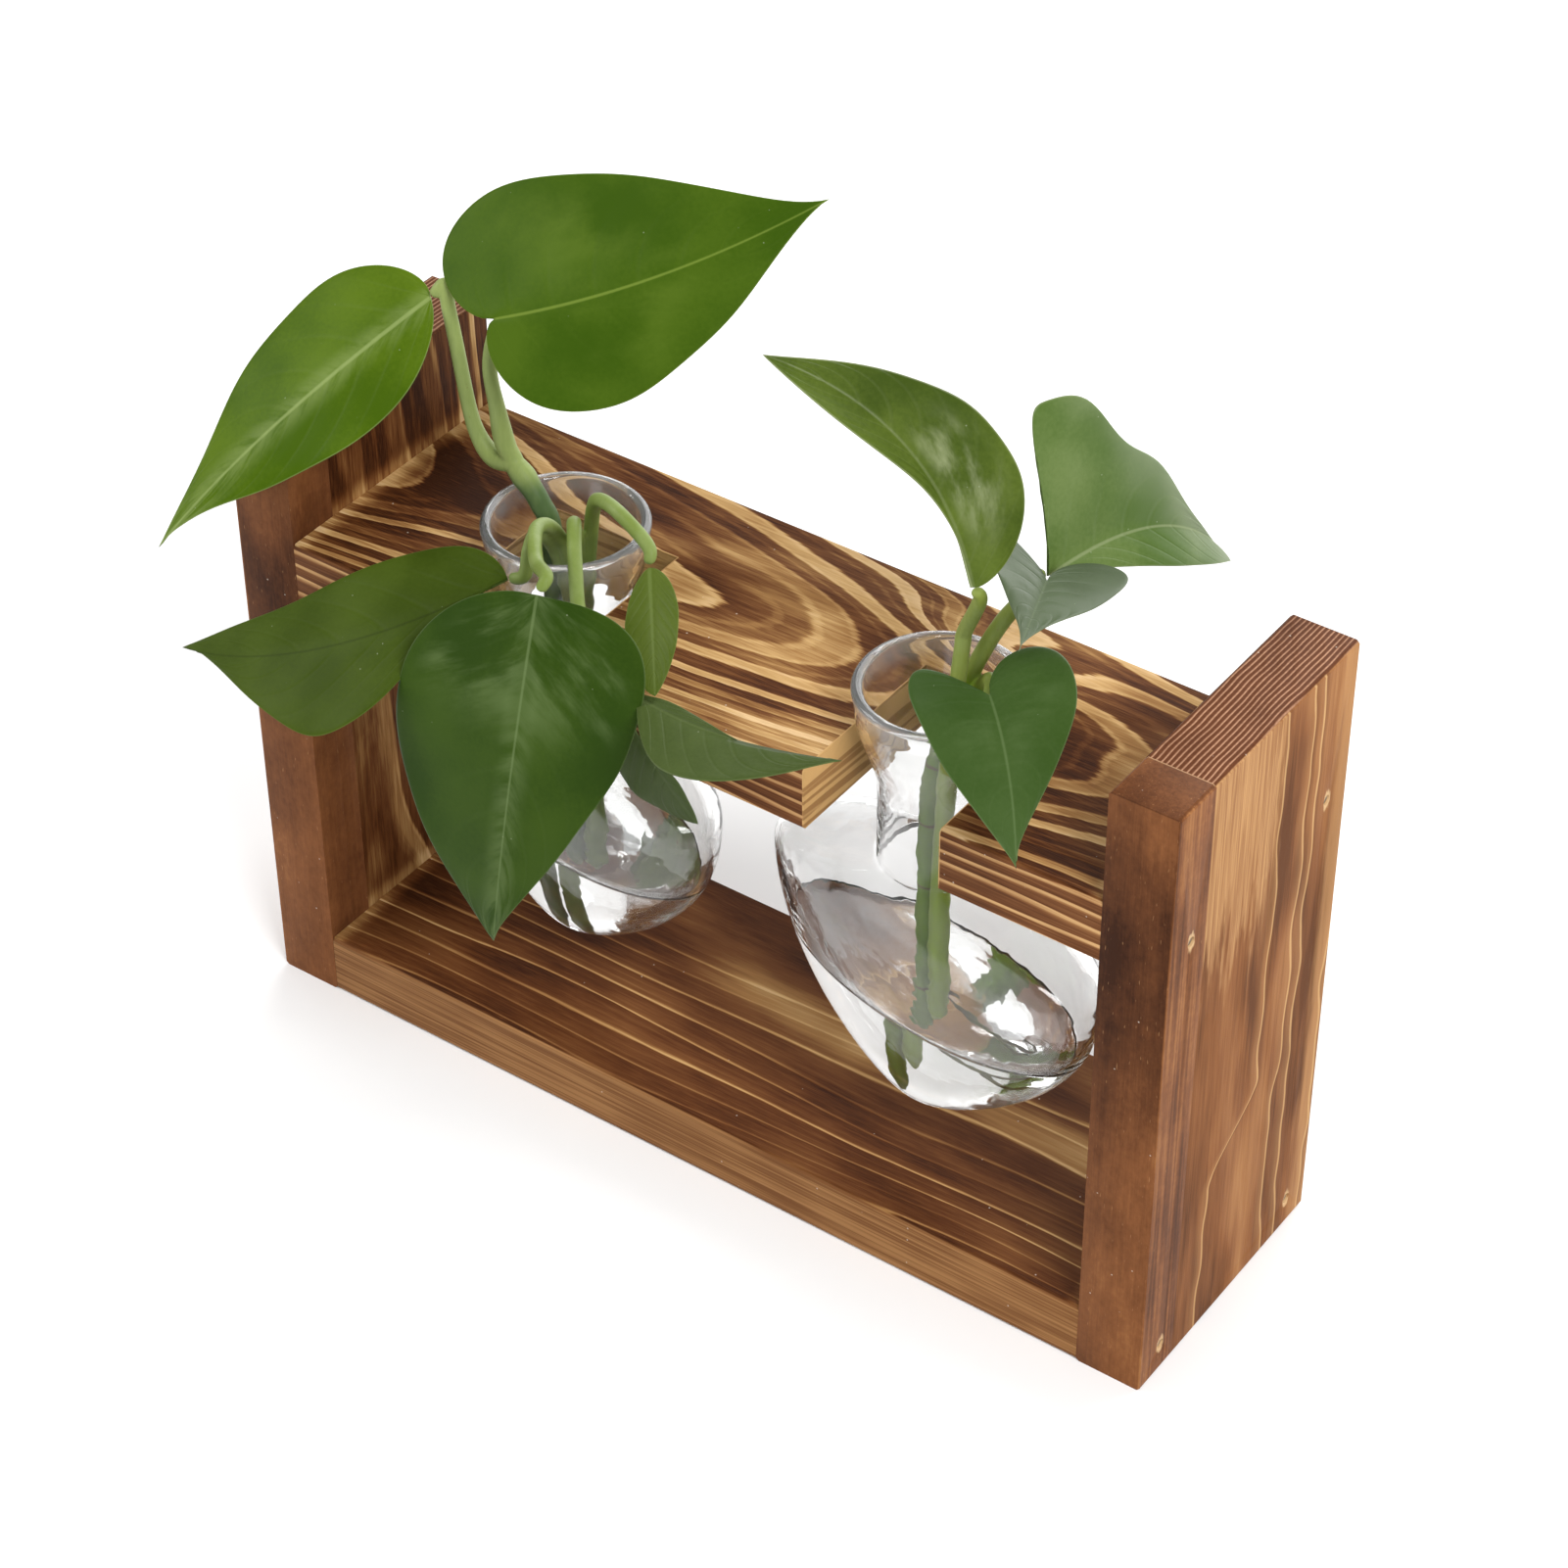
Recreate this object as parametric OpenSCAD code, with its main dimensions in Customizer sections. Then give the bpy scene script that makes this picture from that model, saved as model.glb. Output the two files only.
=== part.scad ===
// Tabletop plant stand with two hanging glass vases, each holding a leafy cutting in water.
// Two side panels carry a lower shelf and an upper shelf. Each vase hangs by its flared neck in a
// slot that is open to the front, so a vase slides out forwards and its cutting lifts out upwards.
// Frame: X along the stand, +Y to the back, +Z up, origin under the middle of the stand.

/* [Stand] */
// Length of the stand from side to side
stand_w = 270; // [240:1:340]
// Depth of the stand from front to back
stand_d = 78; // [72:1:110]
// Height of the side panels
panel_h = 178; // [168:1:220]
// Thickness of every board
board_t = 18; // [14:0.5:24]
// Depth of the strip glued to the front edge of each side panel
strip_d = 15; // [8:0.5:24]
// Height of the upper shelf's top face above the table
shelf_top = 146.5; // [140:0.5:160]
// Width of the small bevel along the boards' long edges
bevel_w = 0.8; // [0.3:0.1:2]

/* [Slots] */
// Width of each slot in the upper shelf
slot_w = 37.4; // [34:0.2:40]
// Depth of each slot from the front edge
slot_d = 50; // [48:0.5:56]
// Distance between the centres of the two slots
slot_pitch = 110.4; // [108:0.2:116]

/* [Brads] */
// Diameter of a brad's shank
brad_dia = 1.6; // [1:0.1:2.4]
// Diameter of a brad's head
brad_head_dia = 2.6; // [2:0.1:4]
// Thickness of a brad's head
brad_head_t = 0.8; // [0.4:0.1:1.2]
// Length of a brad from head to tip
brad_len = 36; // [24:1:45]
// How far the heads are set below the panel's face
brad_sink = 0.6; // [0:0.1:1.5]
// Distance of each brad from the front or back edge of the panel
brad_edge = 8.8; // [5:0.1:14]
// Clearance between a brad and its hole
brad_gap = 0.05; // [0.02:0.01:0.1]

/* [Vases] */
// Widest width of a vase's flattened body
body_w = 104; // [90:1:107]
// Thickness of the body from front to back
body_d = 42; // [34:1:50]
// Height of the widest place above the vase's underside
belly_h = 58.5; // [50:0.5:64]
// Rise of the shoulder from the widest place to the neck
shoulder_h = 20; // [16:0.5:24]
// Outer diameter of the straight neck
neck_dia = 29.2; // [26:0.2:32]
// Length of the straight neck
neck_len = 19; // [12:0.5:22]
// Height of the flare above the straight neck
flare_h = 26; // [22:0.5:32]
// Outer diameter of the flare's top, under the lip
flare_dia = 40.8; // [39:0.2:46]
// Outer diameter of the rolled lip
lip_dia = 41.8; // [41:0.2:47]
// Height of the lip above the flare
lip_h = 5; // [4:0.1:7]
// Thickness of the rolled lip
lip_t = 2.8; // [2:0.1:3.6]
// Thickness of the glass wall
glass_t = 1.6; // [1.2:0.1:2.2]
// Thickness of the vase's base
base_t = 3; // [2:0.1:5]
// Clearance between the flare and the slot's edges
seat_gap = 0.3; // [0.2:0.05:0.5]
// Distance of the right vase's axis from the stand's front
right_vase_y = 28.5; // [26:0.1:29.5]
// Distance of the left vase's axis from the stand's front
left_vase_y = 30.5; // [26:0.1:31]
// Turn of the right vase about its axis
right_turn = -11; // [-20:1:20]
// Turn of the left vase about its axis
left_turn = -14; // [-20:1:20]

/* [Cuttings] */
// Size of a cutting: its leaves' places follow it
spread = 100; // [96:1:104]
// Thickness of a leaf blade
blade_t = 0.9; // [0.7:0.1:1.1]
// Diameter of a main stem
stem_dia = 5.4; // [4:0.1:6]
// Diameter of a leaf stalk
stalk_dia = 3.8; // [3:0.1:4.4]
// Gap between a leaf blade and the end of its stalk
leaf_gap = 0.25; // [0.15:0.05:0.4]

/* [Hidden] */

overrun = 1;
shelf_len = stand_w - 2 * board_t;
shelf_z = shelf_top - board_t;
front_y = -stand_d / 2;
back_y = stand_d / 2;
board_d = stand_d - strip_d;
stem_r = stem_dia / 2;
stalk_r = stalk_dia / 2;

// Vase profile: heights are measured up from the vase's underside.
neck_z = belly_h + shoulder_h;
flare_z = neck_z + neck_len;
vase_h = flare_z + flare_h + lip_h;
neck_r = neck_dia / 2;
bore_r = neck_r - glass_t;
flare_r = flare_dia / 2;
lip_r = lip_t / 2;
lip_mid_r = lip_dia / 2 - lip_r;
seat_r = slot_w / 2 - seat_gap;
seat_share = acos(1 - 2 * (seat_r - neck_r) / (flare_r - neck_r)) / 180;
vase_z = shelf_top - flare_z - flare_h * seat_share;
mouth_z = vase_z + vase_h;
left_axis = [-slot_pitch / 2, front_y + left_vase_y, 0];
right_axis = [slot_pitch / 2, front_y + right_vase_y, 0];

// Counts of sides and steps on the curved solids
round_sides = 32;
low_steps = 11;
shoulder_steps = 7;
flare_steps = 8;
lip_steps = 5;
blade_steps = 13;
blade_cols = 3;
tube_sides = 8;
tube_steps = 3;

// Exponents of the body's outline: how fast its width and thickness fill out above the
// underside, and how the shoulder sweeps in to the neck
width_powers = [1.9, 0.77];
depth_powers = [2, 0.46];
shoulder_powers = [2.2, 1.3];

// Stems inside a vase: shares of the bore's radius across, and of the inner height up
left_front_in_shares = [[-0.1, 0, 0.02], [-0.25, 0, 0.45], [-0.3, -0.05, 0.75], [-0.28, -0.08, 0.96]];
left_back_in_shares = [[0.35, 0.05, 0.03], [0.3, 0.05, 0.45], [0.27, 0, 0.75], [0.25, -0.05, 0.84]];
right_front_in_shares = [[0.06, 0.04, 0.11], [0.06, 0.04, 0.52], [0.14, 0.04, 0.77], [0.27, 0.04, 0.96]];
right_back_in_shares = [[-0.3, 0.12, 0.025], [-0.5, 0.42, 0.47], [-0.5, 0.42, 0.63],
    [-0.36, 0.42, 0.77], [0.15, 0.5, 0.96]];

// Where stems and stalks run above the mouth's centre: shares of the spread
left_front_out_shares = [[-0.065, -0.015, 0.03], [-0.1, -0.015, 0.075], [-0.14, -0.015, 0.115]];
right_front_out_shares = [[0.043, 0.005, 0.05], [0.051, 0.01, 0.16]];
right_back_out_shares = [[0.078, 0.06, 0.1], [0.138, 0.05, 0.22], [0.198, 0.04, 0.31]];

// Each stalk's way from its stem to its leaf: first its points inside the vase, then outside
left_way_shares = [
    [[], [[-0.14, -0.015, 0.115], [-0.2, -0.015, 0.108], [-0.243, -0.015, 0.148],
        [-0.27, -0.015, 0.225], [-0.308, -0.005, 0.395], [-0.333, 0.005, 0.48]]],
    [[], [[-0.135, -0.01, 0.113], [-0.163, -0.015, 0.16], [-0.183, -0.015, 0.26],
        [-0.2, -0.013, 0.36], [-0.198, 0.005, 0.44]]],
    [[[0.2, -0.08, 0.78], [0.14, -0.5, 0.96]], [[0.035, -0.15, 0.056], [0.07, -0.225, 0.07]]],
    [[[0.3, -0.1, 0.8], [0.3, -0.45, 0.97]], [[0.052, -0.125, 0.071], [0.072, -0.2, 0.111],
        [0.166, -0.317, 0.13]]],
    [[[0.32, 0, 0.76], [0.6, -0.05, 0.97]], [[0.12, -0.04, 0.101], [0.165, -0.07, 0.161],
        [0.252, -0.105, 0.176]]],
    [[[0.3, -0.02, 0.81], [0.5, -0.28, 0.97]], [[0.1, -0.09, 0.066], [0.14, -0.14, 0.116],
        [0.207, -0.225, 0.091], [0.3, -0.33, 0.011], [0.38, -0.38, -0.045]]],
    [[], [[0.3, -0.33, 0.011], [0.345, -0.34, -0.09]]]];
right_way_shares = [
    [[], [[0.051, 0.01, 0.16]]],
    [[], [[0.198, 0.04, 0.31]]],
    [[], [[0.198, 0.04, 0.31]]],
    [[[0.15, 0.5, 0.92]], [[0.088, 0.045, 0.011], [0.138, -0.005, 0.066]]]];

// Each leaf's root, tip and facing in shares of the spread, then its bow, the lift of its
// margins and the bend of its midrib in shares of its length, and how its stalk arrives:
// along the midrib, or from under the blade
left_leaf_shares = [
    [[-0.379, -0.007, 0.492], [-0.889, -0.497, -0.158], [0.25, -0.3, 1], 0.1, -0.15, 0.04, [1, 0]],
    [[-0.162, -0.03, 0.525], [0.488, 0.41, 0.855], [0.3, -0.6, 0.75], 0.05, -0.12, -0.06, [0, 1]],
    [[0.025, -0.26, -0.015], [-0.805, -0.54, -0.405], [0, -0.5, 0.85], 0.07, -0.12, 0.13, [1, 0]],
    [[0.26, -0.434, 0.139], [0.19, -0.584, -0.841], [0.1, -1, 0.3], 0.07, -0.15, 0.03, [0.75, 0.65]],
    [[0.38, -0.165, 0.11], [0.51, -0.325, -0.11], [0.5, -0.6, 0.6], 0.05, -0.15, 0, [1, 0]],
    [[0.505, -0.395, -0.06], [1.11, -0.43, 0.045], [0, -0.2, 1], 0.04, 0.1, -0.09, [1, 0]],
    [[0.431, -0.332, -0.213], [0.631, -0.332, -0.433], [-0.2, -0.9, 0.3], 0.03, -0.1, 0, [1, 0]]];
right_leaf_shares = [
    [[0.113, -0.057, 0.352], [-0.347, -0.207, 0.872], [0.35, -0.5, 0.75], 0.05, 0.5, -0.13, [0.82, 0.57]],
    [[0.217, 0.092, 0.338], [0.357, 0.682, 0.088], [0.5, -0.6, 0.5], 0.08, 0.25, 0.15, [0, 1]],
    [[0.262, 0.01, 0.395], [0.392, -0.31, 0.455], [0, 0.2, 1], 0, -0.2, 0, [0, 1]],
    [[0.19, -0.095, 0.11], [0.46, -0.395, -0.06], [0.2, -0.3, 0.9], 0.05, 0.12, 0.03, [0, 1]]];

// Each leaf's left and right margin: widest width as a share of its length, fullness
// towards the root, fullness towards the tip, and how far the lobe reaches back
left_margin_shares = [
    [[0.22, 0.9, 2, 0.04], [0.2, 0.9, 1.6, 0]],
    [[0.35, 0.85, 1.4, 0.12], [0.36, 0.75, 1.75, 0.23]],
    [[0.12, 0.7, 2.7, 0], [0.36, 1, 1.5, -0.1]],
    [[0.33, 0.8, 1.05, 0], [0.29, 0.5, 1.3, 0.06]],
    [[0.21, 0.75, 0.7, 0], [0.21, 0.5, 0.85, 0]],
    [[0.35, 1.2, 1.15, 0], [-0.09, 2.3, 1.3, -0.05]],
    [[0.45, 0.7, 1, 0], [0.1, 1.75, 1, 0]]];
right_margin_shares = [
    [[0.35, 0.75, 1.1, 0.07], [-0.08, 1.3, 3, 0]],
    [[-0.02, 0.9, 3, 0], [0.61, 0.33, 1.5, 0.3]],
    [[0.56, 0.55, 2.45, 1], [0.47, 0.85, 2.6, 0.64]],
    [[0.41, 0.45, 1.35, 0.31], [0.44, 0.95, 2, 0.4]]];
lobe_powers = [0.5, 2.5];
station_power = 1.5;
bend_in = 5;

function unit(v) = v / norm(v);
function ramp(s) = (1 - cos(180 * s)) / 2;

// A smooth curve through every point of a route
function smooth(pts, k) = let (n = len(pts),
    q = concat([2 * pts[0] - pts[1]], pts, [2 * pts[n - 1] - pts[n - 2]]))
    concat([for (i = [0:n - 2], j = [0:k - 1]) let (t = j / k, a = q[i], b = q[i + 1], c = q[i + 2], d = q[i + 3])
        (2 * b + (c - a) * t + (2 * a - 5 * b + 4 * c - d) * t * t + (3 * b - a - 3 * c + d) * t * t * t) / 2],
        [pts[n - 1]]);

// Side directions that follow a route without twisting
function carry(dirs, u, i = 0) = i == len(dirs) ? [] :
    let (v = unit(u - (u * dirs[i]) * dirs[i])) concat([v], carry(dirs, v, i + 1));

// Triangles of a stack of n closed rings with m points each, capped at both ends
function stack_faces(n, m) = concat(
    [for (i = [0:n - 2], j = [0:m - 1]) let (k = (j + 1) % m) [i * m + j, (i + 1) * m + j, (i + 1) * m + k]],
    [for (i = [0:n - 2], j = [0:m - 1]) let (k = (j + 1) % m) [i * m + j, (i + 1) * m + k, i * m + k]],
    [for (j = [1:m - 2]) [0, j, j + 1]],
    [for (j = [1:m - 2]) [(n - 1) * m, (n - 1) * m + j + 1, (n - 1) * m + j]]);

// A round stem along a route, from radius r0 at its foot to r1 at its end
module tube(route, r0, r1) {
    pts = smooth(route, tube_steps);
    n = len(pts);
    dirs = [for (i = [0:n - 1]) unit(pts[min(i + 1, n - 1)] - pts[max(i - 1, 0)])];
    side = abs(dirs[0].x) < 0.9 ? [1, 0, 0] : [0, 0, 1];
    us = carry(dirs, side);
    points = [for (i = [0:n - 1], j = [0:tube_sides - 1])
        let (a = 360 * j / tube_sides, r = r0 + (r1 - r0) * i / (n - 1))
        pts[i] + r * (cos(a) * us[i] + sin(a) * cross(dirs[i], us[i]))];
    polyhedron(points, stack_faces(n, tube_sides), convexity = 6);
}

// The vase's outline as rings of [half width, half depth, height], a wall's thickness inset
function low_ring(t, inset, z0) = [
    (body_w / 2 - inset) * pow(1 - pow(1 - t, width_powers[0]), width_powers[1]),
    (body_d / 2 - inset) * pow(1 - pow(1 - t, depth_powers[0]), depth_powers[1]),
    z0 + (belly_h - z0) * t];
function shoulder_ring(s, inset) = let (g = pow(1 - pow(s, shoulder_powers[0]), shoulder_powers[1]), r = neck_r - inset) [
    r + (body_w / 2 - inset - r) * g,
    r + (body_d / 2 - inset - r) * g,
    belly_h + (shoulder_h - inset) * s];
function flare_ring(s, r0, r1) = let (r = r0 + (r1 - r0) * ramp(s)) [r, r, flare_z + flare_h * s];
function lip_ring(a) = let (r = lip_mid_r + lip_r * cos(a)) [r, r, vase_h - lip_r + lip_r * sin(a)];

function wall_rings(inset, z0, top_r) = concat(
    [for (i = [1:low_steps]) low_ring(pow(i / low_steps, 2), inset, z0)],
    [for (i = [1:shoulder_steps]) shoulder_ring(i / shoulder_steps, inset)],
    [for (i = [0:flare_steps]) flare_ring(i / flare_steps, neck_r - inset, top_r)]);
function turned(list) = [for (i = [len(list) - 1:-1:0]) list[i]];

module vase(axis, turn) {
    rings = concat(wall_rings(0, 0, flare_r),
        [for (i = [0:lip_steps]) lip_ring(180 * i / lip_steps)],
        turned(wall_rings(glass_t, base_t, lip_mid_r - lip_r)));
    points = [for (r = rings, j = [0:round_sides - 1]) let (a = 360 * j / round_sides)
        [r.x * cos(a), r.y * sin(a), r.z]];
    translate(axis + [0, 0, vase_z])
        rotate([0, 0, turn])
            polyhedron(points, stack_faces(len(rings), round_sides), convexity = 8);
}

// A leaf's own directions: along its midrib, out of its face, and across to its right
function leaf_frame(leaf) = let (e = unit(leaf[1] - leaf[0]), f = unit(leaf[2]), n = unit(f - (f * e) * e)) [e, n, cross(n, e)];
function leaf_len(leaf) = spread * norm(leaf[1] - leaf[0]);
function leaf_point(leaf, x, y) = let (f = leaf_frame(leaf), k = leaf_len(leaf), arc = 4 * x * (1 - x))
    spread * leaf[0] + k * (x * f[0] + y * f[2] + (leaf[3] * arc + leaf[4] * abs(y - leaf[5] * arc)) * f[1]);

// A margin's point at station u: a hump that is widest at peak, drawn back by the lobe
function hump(u, a, b) = let (peak = a / (a + b)) pow(u / peak, a) * pow((1 - u) / (1 - peak), b);
function margin_point(m, u) = [u - m[3] * hump(u, lobe_powers[0], lobe_powers[1]), m[0] * hump(u, m[1], m[2])];

// One point of the blade, from the left margin at v = -1 over the midrib to the right at v = 1
function blade_point(leaf, margins, u, v) = let (
    mid = [u, leaf[5] * 4 * u * (1 - u)],
    edge = margin_point(margins[v < 0 ? 0 : 1], u),
    p = mid + abs(v) * ([edge.x, (v < 0 ? -1 : 1) * edge.y] - mid))
    leaf_point(leaf, p.x, p.y);

function flat_pairs(quads) = [for (q = quads) each [[q[0], q[1], q[2]], [q[0], q[2], q[3]]]];
function sound(tris) = [for (t = tris) if (t[0] != t[1] && t[1] != t[2] && t[0] != t[2]) t];

module blade(axis, leaf, margins) {
    n = blade_steps;
    m = 2 * blade_cols + 1;
    half = (n - 1) * m + 2;
    skin = concat([blade_point(leaf, margins, 0, 0)],
        [for (i = [1:n - 1], j = [0:m - 1]) blade_point(leaf, margins, pow(i / n, station_power), (j - blade_cols) / blade_cols)],
        [blade_point(leaf, margins, 1, 0)]);
    up = leaf_frame(leaf)[1] * blade_t / 2;
    function at(layer, i, j) = layer * half + (i == 0 ? 0 : i == n ? half - 1 : 1 + (i - 1) * m + j);
    faces = flat_pairs(concat(
        [for (i = [0:n - 1], j = [0:m - 2]) [at(0, i, j), at(0, i, j + 1), at(0, i + 1, j + 1), at(0, i + 1, j)]],
        [for (i = [0:n - 1], j = [0:m - 2]) [at(1, i, j), at(1, i + 1, j), at(1, i + 1, j + 1), at(1, i, j + 1)]],
        [for (i = [0:n - 1]) [at(0, i, 0), at(0, i + 1, 0), at(1, i + 1, 0), at(1, i, 0)]],
        [for (i = [0:n - 1]) [at(0, i + 1, m - 1), at(0, i, m - 1), at(1, i, m - 1), at(1, i + 1, m - 1)]]));
    translate(axis + [0, 0, mouth_z])
        polyhedron(concat([for (p = skin) p + up], [for (p = skin) p - up]), sound(faces), convexity = 8);
}

function inside(axis, shares) = [for (p = shares)
    axis + [p.x * bore_r, p.y * bore_r, vase_z + base_t + p.z * (vase_h - base_t)]];
function outside(axis, shares) = [for (p = shares) axis + [0, 0, mouth_z] + spread * p];

// The last two points of a stalk, bending in to the leaf's root and stopping a gap short of it
function stalk_end(axis, leaf) = let (f = leaf_frame(leaf), d = unit(leaf[6][0] * f[0] + leaf[6][1] * f[1]),
    root = axis + [0, 0, mouth_z] + spread * leaf[0], droop = leaf[6][1] * (max(0, -leaf[4]) + 4 * leaf[3]) * stalk_r)
    [root - bend_in * d, root - (blade_t / 2 + leaf_gap + droop) * d];

module stalk(axis, way, leaf) {
    tube(concat(inside(axis, way[0]), outside(axis, way[1]), stalk_end(axis, leaf)), stalk_r, stalk_r);
}

// A board's section: a rectangle with its corners bevelled
module section(w, h) {
    b = bevel_w;
    polygon([[b, 0], [w - b, 0], [w, b], [w, h - b], [w - b, h], [b, h], [0, h - b], [0, b]]);
}

// A part of a side panel, drawn on the right: its section runs from y0 back by len_y
module panel_part(side, y0, len_y) {
    mirror([side < 0 ? 1 : 0, 0, 0])
        translate([stand_w / 2 - board_t, y0 + len_y, 0])
            rotate([90, 0, 0])
                linear_extrude(len_y)
                    section(board_t, panel_h);
}

// A shelf between the panels, with its underside at z0
module shelf(z0) {
    translate([-shelf_len / 2, front_y, z0])
        rotate([90, 0, 90])
            linear_extrude(shelf_len)
                section(stand_d, board_t);
}

// A brad driven in from a panel's outer face, or its hole when it is grown by a gap
module brad(side, y, z, gap) {
    lead = gap > 0 ? overrun + brad_sink : 0;
    translate([side * (stand_w / 2 - brad_sink + lead), y, z])
        rotate([0, -side * 90, 0]) {
            cylinder(h = lead + brad_head_t + gap, d = brad_head_dia + 2 * gap, $fn = 32);
            cylinder(h = lead + brad_len + gap, d = brad_dia + 2 * gap, $fn = 32);
        }
}
module brad_pair(side, z, gap = 0) {
    for (y = [front_y + brad_edge, back_y - brad_edge])
        brad(side, y, z, gap);
}
module brad_holes() {
    for (side = [-1, 1], z = [board_t / 2, shelf_z + board_t / 2])
        brad_pair(side, z, brad_gap);
}

module left_board() {
    color("sienna") difference() {
        panel_part(-1, front_y + strip_d, board_d);
        brad_holes();
    }
}
module left_strip() {
    color("peru") difference() {
        panel_part(-1, front_y, strip_d);
        brad_holes();
    }
}
module right_board() {
    color("sienna") difference() {
        panel_part(1, front_y + strip_d, board_d);
        brad_holes();
    }
}
module right_strip() {
    color("peru") difference() {
        panel_part(1, front_y, strip_d);
        brad_holes();
    }
}
module lower_shelf() {
    color("saddlebrown") difference() {
        shelf(0);
        brad_holes();
    }
}
module upper_shelf() {
    color("saddlebrown") difference() {
        shelf(shelf_z);
        brad_holes();
        for (x = [left_axis.x, right_axis.x])
            translate([x - slot_w / 2, front_y - overrun, shelf_z - overrun])
                cube([slot_w, slot_d + overrun, board_t + 2 * overrun]);
    }
}
module upper_left_brads() {
    color("silver") brad_pair(-1, shelf_z + board_t / 2);
}
module upper_right_brads() {
    color("silver") brad_pair(1, shelf_z + board_t / 2);
}
module lower_left_brads() {
    color("silver") brad_pair(-1, board_t / 2);
}
module lower_right_brads() {
    color("silver") brad_pair(1, board_t / 2);
}

module left_vase() {
    color("lightcyan") vase(left_axis, left_turn);
}
module right_vase() {
    color("lightcyan") vase(right_axis, right_turn);
}

module left_front_stem() {
    color("olivedrab") {
        tube(concat(inside(left_axis, left_front_in_shares), outside(left_axis, left_front_out_shares)), stem_r, stem_r);
        for (i = [0, 1])
            stalk(left_axis, left_way_shares[i], left_leaf_shares[i]);
    }
}
module left_back_stem() {
    color("olivedrab") {
        tube(inside(left_axis, left_back_in_shares), stem_r, stem_r);
        for (i = [2:6])
            stalk(left_axis, left_way_shares[i], left_leaf_shares[i]);
    }
}
module right_front_stem() {
    color("olivedrab") {
        tube(concat(inside(right_axis, right_front_in_shares), outside(right_axis, right_front_out_shares)), stem_r, stalk_r);
        stalk(right_axis, right_way_shares[0], right_leaf_shares[0]);
    }
}
module right_back_stem() {
    color("olivedrab") {
        tube(concat(inside(right_axis, right_back_in_shares), outside(right_axis, right_back_out_shares)), stem_r, stalk_r);
        for (i = [1:3])
            stalk(right_axis, right_way_shares[i], right_leaf_shares[i]);
    }
}

module left_leaf(i) {
    color("forestgreen") blade(left_axis, left_leaf_shares[i - 1], left_margin_shares[i - 1]);
}
module right_leaf(i) {
    color("forestgreen") blade(right_axis, right_leaf_shares[i - 1], right_margin_shares[i - 1]);
}

left_board();
left_strip();
right_board();
right_strip();
lower_shelf();
upper_shelf();
upper_left_brads();
upper_right_brads();
lower_left_brads();
lower_right_brads();
left_vase();
right_vase();
left_front_stem();
left_back_stem();
right_front_stem();
right_back_stem();
left_leaf(1);  // left_leaf_1
left_leaf(2);  // left_leaf_2
left_leaf(3);  // left_leaf_3
left_leaf(4);  // left_leaf_4
left_leaf(5);  // left_leaf_5
left_leaf(6);  // left_leaf_6
left_leaf(7);  // left_leaf_7
right_leaf(1);  // right_leaf_1
right_leaf(2);  // right_leaf_2
right_leaf(3);  // right_leaf_3
right_leaf(4);  // right_leaf_4
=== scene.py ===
"""Tabletop plant stand of torched wood with two hanging glass vases and their leafy cuttings."""

import math

import bmesh
import bpy
import numpy as np
from mathutils import Matrix, Vector


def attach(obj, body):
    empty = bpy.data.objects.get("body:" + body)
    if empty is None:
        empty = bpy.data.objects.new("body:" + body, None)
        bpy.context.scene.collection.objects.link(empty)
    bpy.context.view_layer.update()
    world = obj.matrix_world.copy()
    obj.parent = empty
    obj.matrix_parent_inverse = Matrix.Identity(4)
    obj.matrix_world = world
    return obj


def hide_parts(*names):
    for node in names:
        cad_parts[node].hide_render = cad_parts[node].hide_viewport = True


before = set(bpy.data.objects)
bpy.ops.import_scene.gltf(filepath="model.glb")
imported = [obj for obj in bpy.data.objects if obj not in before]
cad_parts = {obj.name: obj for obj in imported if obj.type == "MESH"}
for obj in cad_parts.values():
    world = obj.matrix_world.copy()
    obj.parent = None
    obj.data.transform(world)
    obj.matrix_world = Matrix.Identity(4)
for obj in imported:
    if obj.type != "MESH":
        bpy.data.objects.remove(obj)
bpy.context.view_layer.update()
scene = bpy.context.scene
MM = 0.001

# Sizes of the stand, in millimetres
STAND_W, STAND_D, PANEL_H, BOARD_T, STRIP_D = 270, 78, 178, 18, 15
SHELF_TOP, SLOT_W, SLOT_D, SLOT_PITCH = 146.5, 37.4, 50, 110.4
FRONT_Y, INNER_X = -STAND_D / 2, STAND_W / 2 - BOARD_T

# Sizes of the vases, in millimetres
BODY_W, BODY_D, BELLY_H, SHOULDER_H = 104, 42, 58.5, 20
NECK_DIA, NECK_LEN, FLARE_H, FLARE_DIA = 29.2, 19, 26, 40.8
LIP_DIA, LIP_H, LIP_T, GLASS_T, BASE_T, SEAT_GAP = 41.8, 5, 2.8, 1.6, 3, 0.3
WIDTH_POWERS, DEPTH_POWERS, SHOULDER_POWERS = (1.9, 0.77), (2, 0.46), (2.2, 1.3)
NECK_Z = BELLY_H + SHOULDER_H
FLARE_Z = NECK_Z + NECK_LEN
VASE_H = FLARE_Z + FLARE_H + LIP_H
NECK_R, FLARE_R, LIP_R = NECK_DIA / 2, FLARE_DIA / 2, LIP_T / 2
BORE_R, LIP_MID_R = NECK_R - GLASS_T, LIP_DIA / 2 - LIP_R
SEAT_R = SLOT_W / 2 - SEAT_GAP
SEAT_SHARE = math.acos(1 - 2 * (SEAT_R - NECK_R) / (FLARE_R - NECK_R)) / math.pi
VASE_Z = SHELF_TOP - FLARE_Z - FLARE_H * SEAT_SHARE
MOUTH_Z = VASE_Z + VASE_H
LEFT_IN, RIGHT_IN = 30.5, 28.5
AXIS = {"left": (-SLOT_PITCH / 2, FRONT_Y + LEFT_IN), "right": (SLOT_PITCH / 2, FRONT_Y + RIGHT_IN)}
TURN = {"left": math.radians(-14), "right": math.radians(-11)}
WATER_Z = 72

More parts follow.
